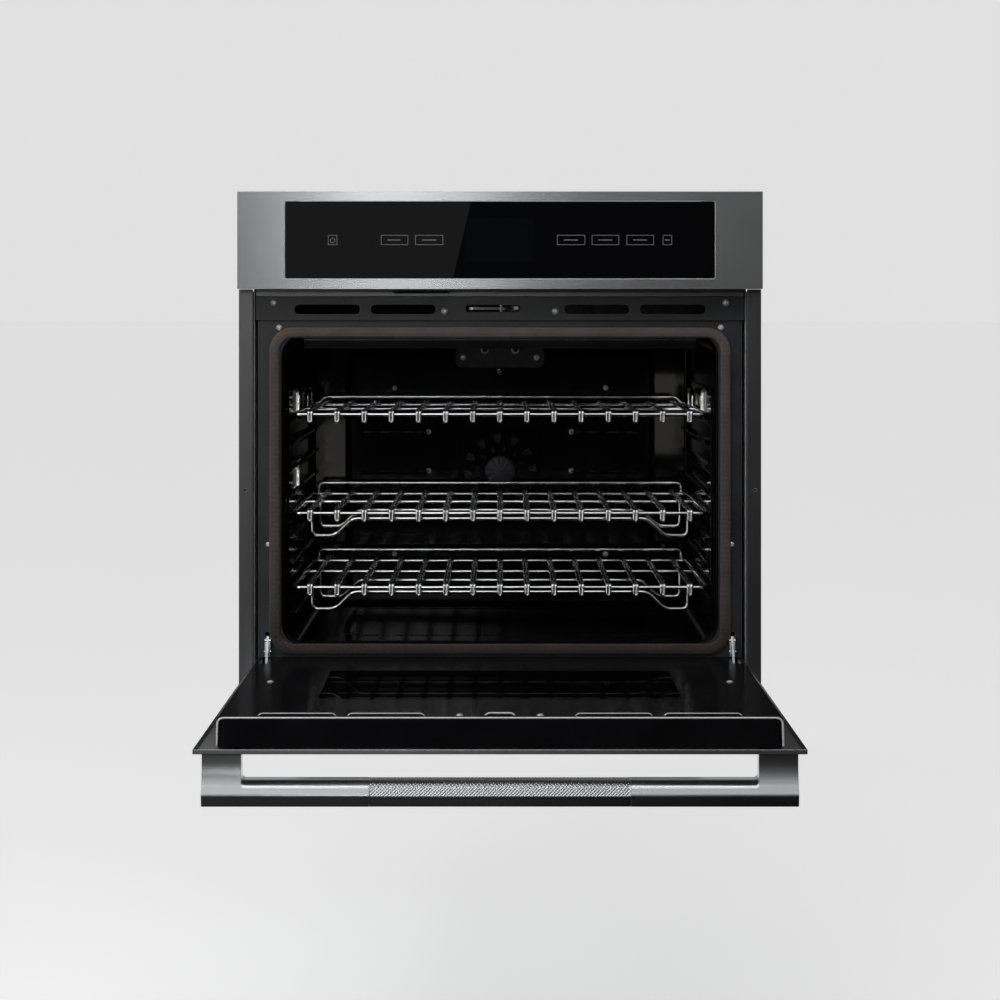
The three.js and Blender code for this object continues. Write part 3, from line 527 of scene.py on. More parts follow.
def plate(bm, outline, holes, thickness, edge, place, top):
    """A flat plate with holes and softened edges; top is its outer face, and it lies behind that."""
    curve = bpy.data.curves.new("plate", "CURVE")
    curve.dimensions = "2D"
    curve.fill_mode = "BOTH"
    curve.extrude = thickness / 2 - edge
    curve.bevel_depth = edge
    curve.bevel_resolution = 1
    curve.offset = -edge
    for loop in [outline, *holes]:
        spline = curve.splines.new("POLY")
        spline.points.add(len(loop) - 1)
        for point, uv in zip(spline.points, loop):
            point.co = (uv[0], uv[1], 0, 1)
        spline.use_cyclic_u = True
    holder = bpy.data.objects.new("plate", curve)
    bpy.context.scene.collection.objects.link(holder)
    graph = bpy.context.evaluated_depsgraph_get()
    mesh = bpy.data.meshes.new_from_object(holder.evaluated_get(graph))
    bpy.data.objects.remove(holder)
    bpy.data.curves.remove(curve)
    start = len(bm.verts)
    bm.from_mesh(mesh)
    bpy.data.meshes.remove(mesh)
    bm.verts.ensure_lookup_table()
    behind = 1 if place is facing_front else -1
    for vert in bm.verts[start:]:
        u, v, w = vert.co
        vert.co = place(u, v, top + behind * (thickness / 2 - w))


def slot_outline(u0, u1, v0, v1):
    return rounded_rect(u0, u1, v0, v1, min(u1 - u0, v1 - v0) / 2 * 0.98, 6)


def screw_head(bm, centre, turn, radius):
    """A domed screw head with a cross recess, its underside on centre."""
    height = radius * 0.5
    spin = rng.uniform(0, math.pi / 2)
    rings, sides = 9, 32
    grid = [[bm.verts.new(Vector(centre) + turn @ Vector((0, 0, height * 0.2)))]]
    for i in range(1, rings + 1):
        r = radius * i / rings
        ring = []
        for a in turns(sides):
            z = height * (1 - 0.75 * (r / radius) ** 3)
            if r < radius * (0.42 + 0.07 * math.cos(6 * a)):
                z -= height * 0.8
            point = Vector((r * math.cos(a + spin), r * math.sin(a + spin), z))
            ring.append(bm.verts.new(Vector(centre) + turn @ point))
        grid.append(ring)
    base = [bm.verts.new(v.co - turn @ Vector((0, 0, height * 0.25))) for v in grid[-1]]
    fan(bm, grid[0][0], grid[1])
    bridge(bm, grid[1:] + [base])
    bm.faces.new(list(reversed(base)))


def fan(bm, centre, ring):
    """Triangles from a centre point to a ring."""
    for a, b in zip(ring, ring[1:] + ring[:1]):
        bm.faces.new((centre, a, b))


def screws(name, node, spots, radius, normal=FORWARD, look=None, ring=True):
    """Screw heads, each with a dark ring round it: painted shade where the countersink is shadowed."""
    turn = Vector((0, 0, 1)).rotation_difference(Vector(normal)).to_matrix()
    bm = bmesh.new()
    for spot in spots:
        screw_head(bm, spot, turn, radius)
    piece(name, bm, node, look or zinc_screw)
    if not ring:
        return
    # The rings are a thin black sheet of painted shade round each head, standing for the countersink's
    # shadow.
    bm = bmesh.new()
    for spot in spots:
        def place(u, v, w, spot=spot):
            return Vector(spot) + turn @ Vector((u, v, w))
        rim = moved([(0, 0, math.cos(a), math.sin(a)) for a in turns(28)], radius)
        sweep_ring(bm, rim, [(-0.4, 0.03), (-0.4, 0.18), (0.9, 0.18), (1.3, 0.03)], place)
    piece(f"{name}_rings", bm, node, LOOKS["black_plastic"])


def both_sides(*spots):
    """The spots on the left, then their mirror images on the right."""
    return [(side * x, y, z) for side in (-1, 1) for x, y, z in spots]


def prism(bm, section, x0, x1):
    """A (y, z) section carried along x."""
    ends = [[bm.verts.new((x, y, z)) for y, z in section] for x in (x0, x1)]
    bridge(bm, ends)
    caps(bm, ends[1], ends[0])


# ------------------------------------------------------------------ control panel

STROKE = 0.55  # width of the printed outlines


def control_panel():
    refined("control_fascia", 1.1, 3)
    low, high = box("control_glass")
    bm = bmesh.new()
    plate(bm, rounded_rect(low.x, high.x, low.z, high.z, 3), [], high.y - low.y, 0.7, facing_front, low.y)
    piece("control_glass_finished", bm, "control_glass", instead=True)

    # The edge of the opening round the glass, a near-white rod: a painted highlight along the edge.
    face = box("control_fascia")[0].y + 0.6
    x, z0, z1, inset = high.x + 0.35, low.z - 0.35, high.z + 0.35, 20
    bm = bmesh.new()
    tube(bm, fillet([(inset - x, face, z1), (-x, face, z1), (-x, face, z0), (x, face, z0),
                     (x, face, z1), (x - inset, face, z1)], 3, 6), 0.55, 10)
    piece("opening_edge", bm, "control_fascia", painted_highlight_edge)

    # Printed touch keys: outlines with dashes for their words, and a round symbol.
    ink, middle = low.y - 0.03, (low.z + high.z) / 2
    bm = bmesh.new()
    spans = [(-171, -132), (-121.6, -81.8), (82, 122), (132, 171), (182, 221)]
    for left, right in spans + [(-247, -234), (234, 247)]:
        key_outline(bm, left, right, middle - 7, middle + 7, ink)
    for left, right in spans:
        printed_dashes(bm, (left + right) / 2, middle, ink, (right - left) * 0.5)
    printed_dashes(bm, 240.5, middle, ink, 7)
    power_x, power_radius = -240.5, 3.4
    symbol = [(power_x + power_radius * math.sin(a), middle - 0.4 + power_radius * math.cos(a))
              for a in [math.radians(40 + 280 * i / 24) for i in range(25)]]
    printed_line(bm, symbol, ink)
    printed_line(bm, [(power_x, middle + 1), (power_x, middle + 4.6)], ink)
    bm.normal_update()
    bmesh.ops.reverse_faces(bm, faces=[face for face in bm.faces if face.normal.y > 0])
    thickened(bm, bm.faces[:], 0.05)
    piece("printed_keys", bm, "control_glass", printed_ink)

    bm = bmesh.new()
    plate(bm, rounded_rect(-48, 48, middle - 31, middle + 31, 2), [], 0.1, 0.02, facing_front, low.y - 0.02)
    piece("display_window", bm, "control_glass", display_glass)


def printed_line(bm, path, depth, width=STROKE):
    """A flat printed stroke in the XZ plane."""
    points = [Vector((x, 0, z)) for x, z in path]
    before = None
    for i, point in enumerate(points):
        ahead = points[min(i + 1, len(points) - 1)] - points[max(i - 1, 0)]
        across = Vector((-ahead.z, 0, ahead.x)).normalized() * width / 2
        pair = [bm.verts.new((p.x, depth, p.z)) for p in (point - across, point + across)]
        if before:
            bm.faces.new((before[0], before[1], pair[1], pair[0]))
        before = pair


def key_outline(bm, x0, x1, z0, z1, depth):
    rings = []
    for inset in (0, STROKE):
        left, right, bottom, top = x0 + inset, x1 - inset, z0 + inset, z1 - inset
        rings.append([bm.verts.new((x, depth, z))
                      for x, z in ((left, bottom), (right, bottom), (right, top), (left, top))])
    bridge(bm, rings)


def printed_dashes(bm, centre, middle, depth, width):
    """A row of short strokes in place of a printed word."""
    at = centre - width / 2
    while at < centre + width / 2 - 1:
        length = rng.uniform(1.0, 2.6)
        end = min(at + length, centre + width / 2)
        printed_line(bm, [(at, middle), (end, middle)], depth, 1.3)
        at = end + 0.6


# ------------------------------------------------------------------ front of the cabinet

CAVITY_SKIN = 1.5


def front_strips():
    for word, side in SIDES:
        refined(f"{word}_trim", 0.5)
        hole = (side * 371, box(f"{word}_trim")[0].y + 1.2, 301)
        screws(f"{word}_trim_screw", f"{word}_trim", [hole], 2.3,
               look=LOOKS["black_plastic"], ring=False)
    refined("bottom_trim", 0.4)
    refined("upper_rail", 0.5)
    refined("vent_strip", 0.6, 3)
    # The latch hook sits in shade behind its slot; its near-white finish is a painted highlight.
    refined("latch_hook", 0.5, look=painted_highlight_edge)
    refined("door_switch_plunger", 0.6, 3, look=pale_plastic)
    low, _ = box("vent_strip")
    spots = both_sides((329, low.y, low.z + 25.5), (80.5, low.y, low.z + 13))
    screws("strip_screws", "vent_strip", spots, 5.0)


def cavity_mouth():
    """The flange with its rolled mouth, and the sloping lip over it."""
    low, high = box("cavity_front_frame")
    skin = CAVITY_SKIN
    bm = bmesh.new()
    roll = 6.5
    hinge_slots = [rounded_rect(x - 5, x + 5, 38, 93, 2, 3) for x in (-338, 338)]
    plate(bm, rounded_rect(low.x, high.x, low.z, high.z, 2, 3), [cavity_outline(roll), *hinge_slots],
          skin, 0.3, facing_front, low.y)
    piece("cavity_flange", bm, "cavity_front_frame", instead=True)

    bm = bmesh.new()
    top, front, back = box("cavity_wrapper")[1].z - skin, low.y, high.y
    lip_end = low.z + 480.5
    section = [(front, top - 1.8), (back - 1.5, lip_end), (back, lip_end), (back, lip_end + 1.5),
               (front + 1.6, top - 0.4), (front + 1.5, top + 1.5), (front, top + 1.5)]
    prism(bm, section, -286, 286)
    soften(piece("cavity_lip", bm, "cavity_front_frame"), 0.6, 3)

    screws("flange_screws", "cavity_front_frame", both_sides((338, low.y, 221)), 3.6)
    screws("flange_corner_screws", "cavity_front_frame", both_sides((322, low.y, 537)), 4.4)


def cavity_outline(grow):
    """The cavity's inner outline, moved outward by grow."""
    low, high = box("cavity_wrapper")
    by = grow - CAVITY_SKIN
    return rounded_rect(low.x - by, high.x + by, low.z - by, high.z + by, 25 + grow, 10)


def gasket():
    """A hollow woven rope with crossing raised yarns, following a rounded rectangle."""
    low, high = box("door_gasket")
    half_wide, half_deep = 7.75, (high.y - low.y) / 2
    middle = (low.y + high.y) / 2
    outline = spaced(rounded_rect(low.x + half_wide, high.x - half_wide, low.z + half_wide,
                                  high.z - half_wide, 27, 24), 1.7)
    bm = bmesh.new()
    rings = []
    travelled = 0.0
    for i, (u, v, nu, nv) in enumerate(outline):
        size = math.hypot(nu, nv) or 1.0
        nu, nv = nu / size, nv / size
        if i:
            travelled += math.hypot(u - outline[i - 1][0], v - outline[i - 1][1])
        slow = 1 + 0.02 * math.sin(travelled * 0.009) + 0.015 * math.sin(travelled * 0.023 + 1)
        turn = travelled / 7 * math.pi
        ring = []
        for angle in turns(26):
            yarn = math.sin(turn + 4 * angle) * math.sin(turn - 4 * angle)
            out = -0.6 + 0.6 * yarn
            wide = (half_wide + out) * slow * math.cos(angle)
            deep = (half_deep + out) * math.sin(angle)
            ring.append(bm.verts.new((u + nu * wide, middle + deep, v + nv * wide)))
        rings.append(ring)
    bridge(bm, rings + rings[:1])
    piece("door_gasket_braid", bm, "door_gasket", instead=True, sharp=80)


# ------------------------------------------------------------------ cavity

def cavity_shell():
    """Walls, floor and ceiling in one smooth sheet: rolled at the mouth, rounded into the back."""
    front = box("cavity_front_frame")[0].y
    low, high = box("cavity_wrapper")
    roll = [(6.6, 0.1), (5.0, 0.2), (3.2, 0.9), (1.5, 2.4), (0.4, 5.0), (0.0, 9.0)]
    profile = [(off, front + deep) for off, deep in roll]
    round_in = 9
    profile += [(off, high.y - drop) for off, drop in reversed(rolled_edge(round_in, 90, 7))]
    profile += [(-round_in, high.y), (1.4, high.y), (1.4, front + 6), (6.6, front + 1.6)]
    bm = bmesh.new()
    sweep_ring(bm, spaced(cavity_outline(0), 60), profile, facing_front)
    piece("cavity_shell", bm, "cavity_wrapper", cavity_enamel,
          instead=True, sharp=50)
    refined("cavity_back_panel", 0.3, 1)

    # A shallow raised panel pressed into the floor.
    floor = low.z + CAVITY_SKIN
    bm = bmesh.new()
    panel = rounded_rect(-235, 235, low.y + 60, high.y - 60, 45, 10)
    ridge = [(0, 0), (-3, 0.7), (-7, 1.1), (-11, 0.7), (-14, 0), (-14, -0.5), (0, -0.5)]
    sweep_ring(bm, spaced(panel, 60), [(off, floor + rise) for off, rise in ridge], facing_up)
    piece("cavity_floor_ridge", bm, "cavity_wrapper", cavity_enamel, sharp=60)


def rack_guide(word, side):
    """A stamped side wall: rack positions pressed out as rounded ledges, and a hole for each lamp."""
    node = f"rack_guide_{word}"
    low, high = box(node)
    inner, ledge_reach, ledge_height = 310.5, 9.9, 12
    pitch, top_ledge = 36.2, high.z - 41.6
    plain_end, end_slope, window_slope = 4, 16, 9
    windows = [box(name) for name in nodes if name.startswith(f"lamp_{word}")]
    bm = bmesh.new()
    grid = []
    rows = round((high.z - low.z) / 1.3)
    columns = round((high.y - low.y) / 6)
    for i in range(rows + 1):
        z = low.z + (high.z - low.z) * i / rows
        line = []
        for k in range(columns + 1):
            y = low.y + (high.y - low.y) * k / columns
            out = 0.0
            for level in range(9):
                below = (top_ledge - level * pitch - z) / ledge_height
                if -0.12 < below < 1:
                    rise = 1 - below if below > 0 else 1 + below / 0.12
                    out = max(out, rise ** 0.8)
            ends = max(0.0, min(1.0, (min(y - low.y, high.y - y) - plain_end) / end_slope))
            out *= ends * ends * (3 - 2 * ends)
            for lo, hi in windows:
                out *= min(1.0, max(0.0, max(lo.y - y, y - hi.y, lo.z - z, z - hi.z) / window_slope))
            line.append(bm.verts.new((side * (inner - ledge_reach * out), y, z)))
        grid.append(line)
    for a, b in zip(grid, grid[1:]):
        for k in range(columns):
            middle = (a[k].co + b[k + 1].co) / 2
            hole = [lo for lo, hi in windows
                    if lo.y - 1 < middle.y < hi.y + 1 and lo.z - 1 < middle.z < hi.z + 1]
            if not hole:
                bm.faces.new((a[k], a[k + 1], b[k + 1], b[k]))
    bmesh.ops.delete(bm, geom=[v for v in bm.verts if not v.link_faces], context="VERTS")
    made = piece(f"{node}_stamped", bm, node, instead=True, sharp=50)
    sheet = made.modifiers.new("sheet", "SOLIDIFY")
    sheet.thickness = 1.0 * MM
    sheet.offset = 0.0


def lamp(node, side):
    """A framed lens with a capsule bulb behind it."""
    low, high = box(node)
    wall = 310.9

    def place(u, v, w):
        return Vector((side * w, u, v))

    bm = bmesh.new()
    rim = [(0, 0), (-0.6, -2), (-2.5, -3.2), (-5, -2.6), (-6, 1), (-2, 3)]
    outline = rounded_rect(low.y, high.y, low.z, high.z, 6)
    sweep_ring(bm, outline, [(off, wall + deep) for off, deep in rim], place)
    piece(f"{node}_frame", bm, node, zinc_screw, instead=True, sharp=50)

    bm = bmesh.new()
    lens = rounded_rect(low.y + 5.5, high.y - 5.5, low.z + 5.5, high.z - 5.5, 5)
    rings = []
    for off, rise in ((0.0, 0.0), (1.5, 2.6), (4.5, 4.4), (8.5, 5.2)):
        rings.append([bm.verts.new(place(u, v, wall + 1.2 - rise)) for u, v, _, _ in moved(lens, -off)])
    bridge(bm, rings)
    caps(bm, rings[0], rings[-1])
    piece(f"{node}_lens", bm, node, lit_glass, sharp=40)

    bm = bmesh.new()
    middle_y, middle_z = (low.y + high.y) / 2, (low.z + high.z) / 2
    tube(bm, [(side * (wall - 0.6), middle_y, middle_z + end) for end in (-9, 9)], 2.6, 14)
    piece(f"{node}_bulb", bm, node, bulb_glow)


# ------------------------------------------------------------------ fan cover, elements, probe

def fan_cover():
    """A pressed cover: sloping rounded sides, hooded louvres, and a flower of holes over the fan."""
    low, high = box("fan_baffle")
    fan_z = sum(corner.z for corner in box("convection_fan")) / 2
    skin, round_off, flare = 1.2, 6, 7
    front = rounded_rect(low.x, high.x, low.z, high.z, 12, 8)
    holes = []
    for angle in turns(12):
        angle += math.radians(5)
        holes.append(petal(fan_z, angle, 45, 64, 8.5))
        holes.append(petal(fan_z, angle + math.pi / 12, 31, 41, 3.6))
    louvres = [(side * 171.5, fan_z + dz) for side in (-1, 1) for dz in (0, 64)]
    for x, z in louvres:
        holes.append(slot_outline(x - 56, x + 56, z - 4.2, z + 1.5))
    bm = bmesh.new()
    plate(bm, moved(front, -round_off), holes, skin, 0.35, facing_front, low.y)
    bend = [(off, low.y + drop) for off, drop in rolled_edge(round_off, 80)]
    inside = [(off - skin * 0.9, deep + skin) for off, deep in reversed(bend)]
    sweep_ring(bm, front, bend + [(flare, high.y), (flare - skin, high.y)] + inside, facing_front)

    # Square emboss round the fan, and the hub's cap.
    square = rounded_rect(-68, 68, fan_z - 68, fan_z + 68, 5)
    ridge = [(0, 0.2), (-1.2, -1.1), (-2.6, -1.1), (-3.8, 0.2)]
    sweep_ring(bm, square, [(off, low.y + deep) for off, deep in ridge], facing_front)
    for x, z in louvres:
        hood(bm, x, z, 57, low.y)
    piece("fan_cover", bm, "fan_baffle", instead=True, sharp=40)

    bm = bmesh.new()
    rings = []
    for radius, rise in ((8.0, -3.0), (13.0, -2.2), (20.0, -1.8), (23.5, -1.2), (25.0, 0.2)):
        tooth = 0.35 if radius > 10 else 0.0
        rings.append([bm.verts.new((radius * math.cos(a), low.y + rise + tooth * math.cos(12 * a),
                                    fan_z + radius * math.sin(a))) for a in turns(72)])
    fan(bm, bm.verts.new((0, low.y - 3.2, fan_z)), rings[0])
    bridge(bm, rings)
    bm.faces.new(rings[-1])
    piece("fan_hub_cap", bm, "fan_baffle", LOOKS["element_steel"], sharp=40)

    spots = both_sides(*[(x, low.y, fan_z + z) for x, z in ((173, 136), (117, 64), (117, 0), (173, -136))])
    screws("fan_cover_screws", "fan_baffle", spots, 4.2)


def rolled_edge(radius, turn, steps=6):
    """Points of (outward offset, drop) round an edge that turns down by that many degrees."""
    angles = [math.radians(turn * i / steps) for i in range(steps + 1)]
    return [(-radius * (1 - math.sin(a)), radius * (1 - math.cos(a))) for a in angles]


def petal(centre_z, angle, inner, outer, half):
    """A drop-shaped hole pointing at the fan's centre."""
    points = []
    middle, reach = (inner + outer) / 2, (outer - inner) / 2
    for t in turns(20):
        along = middle + reach * math.cos(t)
        across = half * math.sin(t) * (0.72 + 0.28 * math.cos(t))
        points.append((along * math.cos(angle) - across * math.sin(angle),
                       centre_z + along * math.sin(angle) + across * math.cos(angle)))
    return points


def hood(bm, x, z, half, face):
    """A louvre's hood: a long blister of thin sheet, open along its upper edge."""
    along, up = 28, 6
    grid = []
    for i in range(along + 1):
        t = -1 + 2 * i / along
        swell = 3.4 * max(0.0, 1 - abs(t) ** 6) ** 0.5
        grid.append([bm.verts.new((x + t * half, face - swell * math.sin(k / up * math.pi / 2),
                                   z - 5.5 + 6.5 * k / up)) for k in range(up + 1)])
    thickened(bm, bridge(bm, grid, closed=False), 0.7)


def elements():
    """The grill element's tube, its mounting plate, and the probe."""
    low, high = box("broil_element")
    rod = 4
    bm = bmesh.new()
    z = high.z - rod
    lead_z = 498.5
    x_out, y_near, y_far = high.x - rod, low.y + rod, high.y - 74
    half = [(25, high.y, lead_z), (25, y_far + 15, lead_z), (25, y_far, z), (x_out, y_far, z),
            (x_out, y_near, z), (x_out - 80, y_near, z), (x_out - 80, y_far - 50, z),
            (x_out - 160, y_far - 50, z), (x_out - 160, y_near, z)]
    tube(bm, fillet(mirrored(half), 22, 8), rod * 0.97, 14)
    piece("grill_tube", bm, "broil_element", instead=True)

    face = low.y + 409.3
    bm = bmesh.new()
    plate(bm, rounded_rect(-73, 73, low.z, 505, 14), [], 3, 0.8, facing_front, face)
    piece("grill_mounting_plate", bm, "broil_element")
    screws("grill_plate_bolts", "broil_element", both_sides((60, face, low.z + 17)), 5.0)
    bm = bmesh.new()
    for x in (-25, 25):
        tube(bm, [(x, face - 3, lead_z), (x, face + 0.4, lead_z)], 7, 20)
    piece("grill_lead_collars", bm, "broil_element", zinc_screw)

    low, high = box("temperature_probe")
    centre_z = (low.z + high.z) / 2
    bm = bmesh.new()
    tube(bm, [(0, low.y + 1, centre_z), (0, high.y, centre_z)], 3.1, 16)
    tube(bm, [(0, low.y + 84, centre_z), (0, low.y + 88, centre_z)], 6, 16)
    piece("temperature_probe_finished", bm, "temperature_probe", instead=True)


def mirrored(half):
    """The half path from its start, then its mirror image back."""
    return half + [(-x, y, z) for x, y, z in reversed(half)]


# ------------------------------------------------------------------ racks

WIRE = 2.9  # radius of a rack's frame wires
BAR_WIRE = 2.25  # radius of the paired bar wires
RACK_LEVEL = {"rack_upper": 409.7, "rack_middle": 264.9, "rack_lower": 156.3}
BAR_PITCH = 39.7


def rack(node, deep):
    """A chrome rack of round wires, from its CAD box."""
    low, high = box(node)
    level = RACK_LEVEL[node]
    side_x = high.x - 3
    front, back = low.y + 8, high.y - 3
    bm = bmesh.new()

    loop = mirrored([(0, front, level), (side_x, front, level), (side_x, back, level)])
    tube(bm, fillet(loop, 14, 7), WIRE)
    cross = front + (back - front) * 0.573
    tube(bm, [(-side_x, cross, level), (side_x, cross, level)], WIRE)

    top, nose, apart = level + 5.2, low.y + 2.4, 2.35
    for i in range(-7, 8):
        pair = mirrored([(-apart, back + 1, top), (-apart, nose, top), (-apart, nose, level - 10.6)])
        tube(bm, fillet([(i * BAR_PITCH + x, y, z) for x, y, z in pair], 4, 5), BAR_WIRE, 12)

    if deep:
        dropped = bmesh.new()
        for y in (front + 42, front + 207):
            drop = [(278, y, level + 1.5), (278, y, level - 36), (244.5, y, level - 36), (218, y, level - 11)]
            tube(dropped, fillet(mirrored(drop), 9), WIRE)
            tube(dropped, [(0, y, level - 11), (0, y, level + 3)], BAR_WIRE, 10)
        piece(f"{node}_frame_wires", dropped, f"{node}_frame", instead=True, sharp=70)
        tube(bm, fillet(mirrored([(294, back, level), (294, back, level + 18)]), 7), WIRE)
    else:
        raised = [(side_x - 4, back - 3, level + 3), (side_x - 9, back, level + 3),
                  (side_x - 19, back, level + 13)]
        tube(bm, fillet(mirrored(raised), 8), WIRE)
        for side in (-1, 1):
            near, far = front + 293, front + 371
            x = side * side_x
            stop = [(x, near, level), (x, near, level + 27), (x, far, level + 27), (x, far, level)]
            tube(bm, fillet(stop, 12, 7), WIRE)
    piece(f"{node}_wires", bm, node, instead=True, sharp=70)


# ------------------------------------------------------------------ door

def door():
    refined("door_outer_panel", 0.7, 3)
    refined("door_window_glass", 0.5)
    refined("door_inner_glass", 0.5, look=inner_glass)
    refined("door_glass_frame", 0.4, 1)
    refined("door_middle_glass", 0.4, 1)
    for word, _ in SIDES:
        refined(f"hinge_arm_{word}", 0.5)
        refined(f"hinge_channel_{word}", 0.5)
        refined(f"hinge_receiver_{word}", 0.4)
        hinge_links(word)
    door_liner()
    handle()


def hinge_links(word):
    """Two side straps on the hinge arm, riveted through it, as it comes out of the oven's front."""
    low, high = box(f"hinge_arm_{word}")
    middle = (low.x + high.x) / 2
    front, lift = high.y - 100, low.z
    bm = bmesh.new()
    strap = [(2.5, 12), (-3, 32), (-1, 50), (4, 57), (14, 57), (16, 50), (12, 34), (10, 16)]
    for off in (-3.9, 2.4):
        prism(bm, [(front + y, lift + z) for y, z in strap], middle + off, middle + off + 1.5)
    soften(piece(f"hinge_straps_{word}", bm, f"hinge_arm_{word}"), 0.4)
    bm = bmesh.new()
    for y, z, radius in ((3.2, 53, 3.2), (1.2, 37, 3.4), (5.5, 22, 3.0)):
        tube(bm, [(middle + end, front + y, lift + z) for end in (-4.6, 4.6)], radius, 18)
    piece(f"hinge_rivets_{word}", bm, f"hinge_arm_{word}", LOOKS["chrome_wire"])


LINER_SLOTS = ((-188, -94), (-299, -204), (94, 188), (204, 299))


def door_liner():
    """The enamelled inner pan: a rolled edge, a window, and slots along its free edge."""
    low, high = box("door_liner")
    glass_low, glass_high = box("door_glass_frame")
    edge, skin, flare, free = 4, 1.4, 1.8, low.y
    around = moved(rounded_rect(low.x, high.x, low.y, high.y, 14, 10), -skin)
    holes = [rounded_rect(glass_low.x + 15, glass_high.x - 15, glass_low.y + 15, glass_high.y - 15, 12)]
    for side in (-1, 1):
        holes.append(rounded_rect(*sorted((side * 332, side * 344)), high.y - 76, high.y - edge - 4, 2, 3))
    for left, right in LINER_SLOTS:
        holes.append(slot_outline(left, right, free + 8, free + 15))
    holes.append(slot_outline(-17.5, 17.5, free + 8, free + 18))
    bm = bmesh.new()
    plate(bm, moved(around, -edge), holes, skin, 0.3, facing_up, high.z)
    bend = [(off, high.z - drop) for off, drop in rolled_edge(edge, 90)]
    inside = [(off - skin * 0.95, z - skin * 0.95) for off, z in reversed(bend)]
    sweep_ring(bm, around, bend + [(flare, low.z), (flare - skin, low.z)] + inside, facing_up)
    piece("door_liner_pressed", bm, "door_liner", liner_enamel,
          instead=True, sharp=45)
    # The slot lips are near-white: a painted highlight along each slot's far edge.
    bm = bmesh.new()
    for left, right in LINER_SLOTS:
        lipped(bm, left, right, free + 15.5, high.z)
    lipped(bm, -17.5, 17.5, free + 18.5, high.z, 1.6)
    piece("door_slot_lips", bm, "door_liner", painted_highlight_edge)
    # A near-white rod along the liner's free edge: a painted highlight on its rolled edge.
    bm = bmesh.new()
    edge_x, edge_y = high.x - 4.2, free + 2.6
    rim = mirrored([(-edge_x - 1, edge_y - 1.5, low.z + 2), (-edge_x, edge_y, high.z - 1.1)])
    tube(bm, fillet(rim, 8, 8), 1.2)
    piece("door_liner_rim", bm, "door_liner", painted_highlight_edge)
    spots = both_sides((50, low.y + 14, high.z), (310, low.y + 300, high.z))
    screws("door_liner_screws", "door_liner", spots, 4.4, (0, 0, 1))


def lipped(bm, x0, x1, y, z, thick=1.0):
    """A low rolled lip standing along the far side of a slot."""
    path = [(x0 - 1, y, z - 0.6), (x0 + 3, y, z + 2.6), (x1 - 3, y, z + 2.6), (x1 + 1, y, z - 0.6)]
    tube(bm, fillet(path, 2, 4), 0.6 * thick, 8)


def handle():
    """A bar with a squared front lip over a hollowed flank, two posts, and a knurled sleeve."""
    low, high = box("handle_bar")
    grip_low, grip_high = box("handle_grip")
    lip, turn = low.z + 13.5, low.z + 23
    slope, straight, fade = 0.4, 14, 26
    tilt, radius = math.radians(22), 15
    post_width, round_in = 49, 5

    def flank(z):
        """How far back the flank lies at height z: it rolls over to its tilt, which fades near the door."""
        up = z - lip
        if up <= 3:
            return slope / 2 * up * up / 3
        if up <= straight:
            return slope * up - 0.6
        over = min(up - straight, fade)
        return slope * (straight + over - over * over / (2 * fade)) - 0.6

    start = [(high.y, low.z), (low.y + 4.4, low.z), (low.y + 3.3, low.z + 0.35),
             (low.y + 2.7, low.z + 1.2), (low.y + 0.15, lip - 1.0)]

    def flank_points(z0, z1, count):
        heights = [z0 + (z1 - z0) * i / count for i in range(count + 1)]
        return [(low.y + flank(z), z) for z in heights]

    def bar_section(rise):
        """The bar's outline, its top raised by rise where it runs into a post."""
        points = start + flank_points(lip, turn + rise, 16)
        y, z = points[-1]
        for i in range(1, 9):
            angle = tilt + (math.pi / 2 - tilt) * i / 8
            points.append((y + radius * (math.cos(tilt) - math.cos(angle)),
                           z + radius * (math.sin(angle) - math.sin(tilt))))
        return points + [(high.y, points[-1][1])]

    post = start + flank_points(lip, turn + round_in, 16)
    shared = len(post)
    post += flank_points(turn + round_in, high.z, 10)[1:] + [(high.y, high.z)]
    tall = bar_section(round_in)
    post.append(tall[-1])
    bm = bmesh.new()
    for side in (-1, 1):
        def ring(x, section):
            return [bm.verts.new((side * x, y, z)) for y, z in section]

        inner_x = high.x - post_width
        outer, inner = ring(high.x, post), ring(inner_x, post)
        bridge(bm, [outer, inner])
        bm.faces.new(outer)
        upper = ring(inner_x, tall[shared:-1])
        bm.faces.new(inner[shared - 1:] + list(reversed(upper)))
        rings = [inner[:shared] + upper + [inner[-1]]]
        for i in range(1, 7):
            across = i / 6
            rise = round_in * (1 - math.sqrt(max(0.0, 1 - (1 - across) ** 2)))
            rings.append(ring(inner_x - round_in * across, bar_section(rise)))
        rings.append(ring(grip_high.x + 0.3, bar_section(0)))
        bridge(bm, rings)
        bm.faces.new(rings[-1])
    front, back, under, over = low.y + 11, high.y - 8, low.z + 8, low.z + 20
    prism(bm, [(front, under), (back, under), (back, over), (front, over)], grip_low.x - 2, grip_high.x + 2)
    soften(piece("handle_bar_finished", bm, "handle_bar", instead=True), 0.9, 3, 42)
    knurled_grip(dense_loop(bar_section(0), KNURL_STEP), lip)


KNURL_STEP = 0.8  # spacing of the sleeve's points
KNURL_PITCH = 4.4
KNURL_DEPTH = 0.75


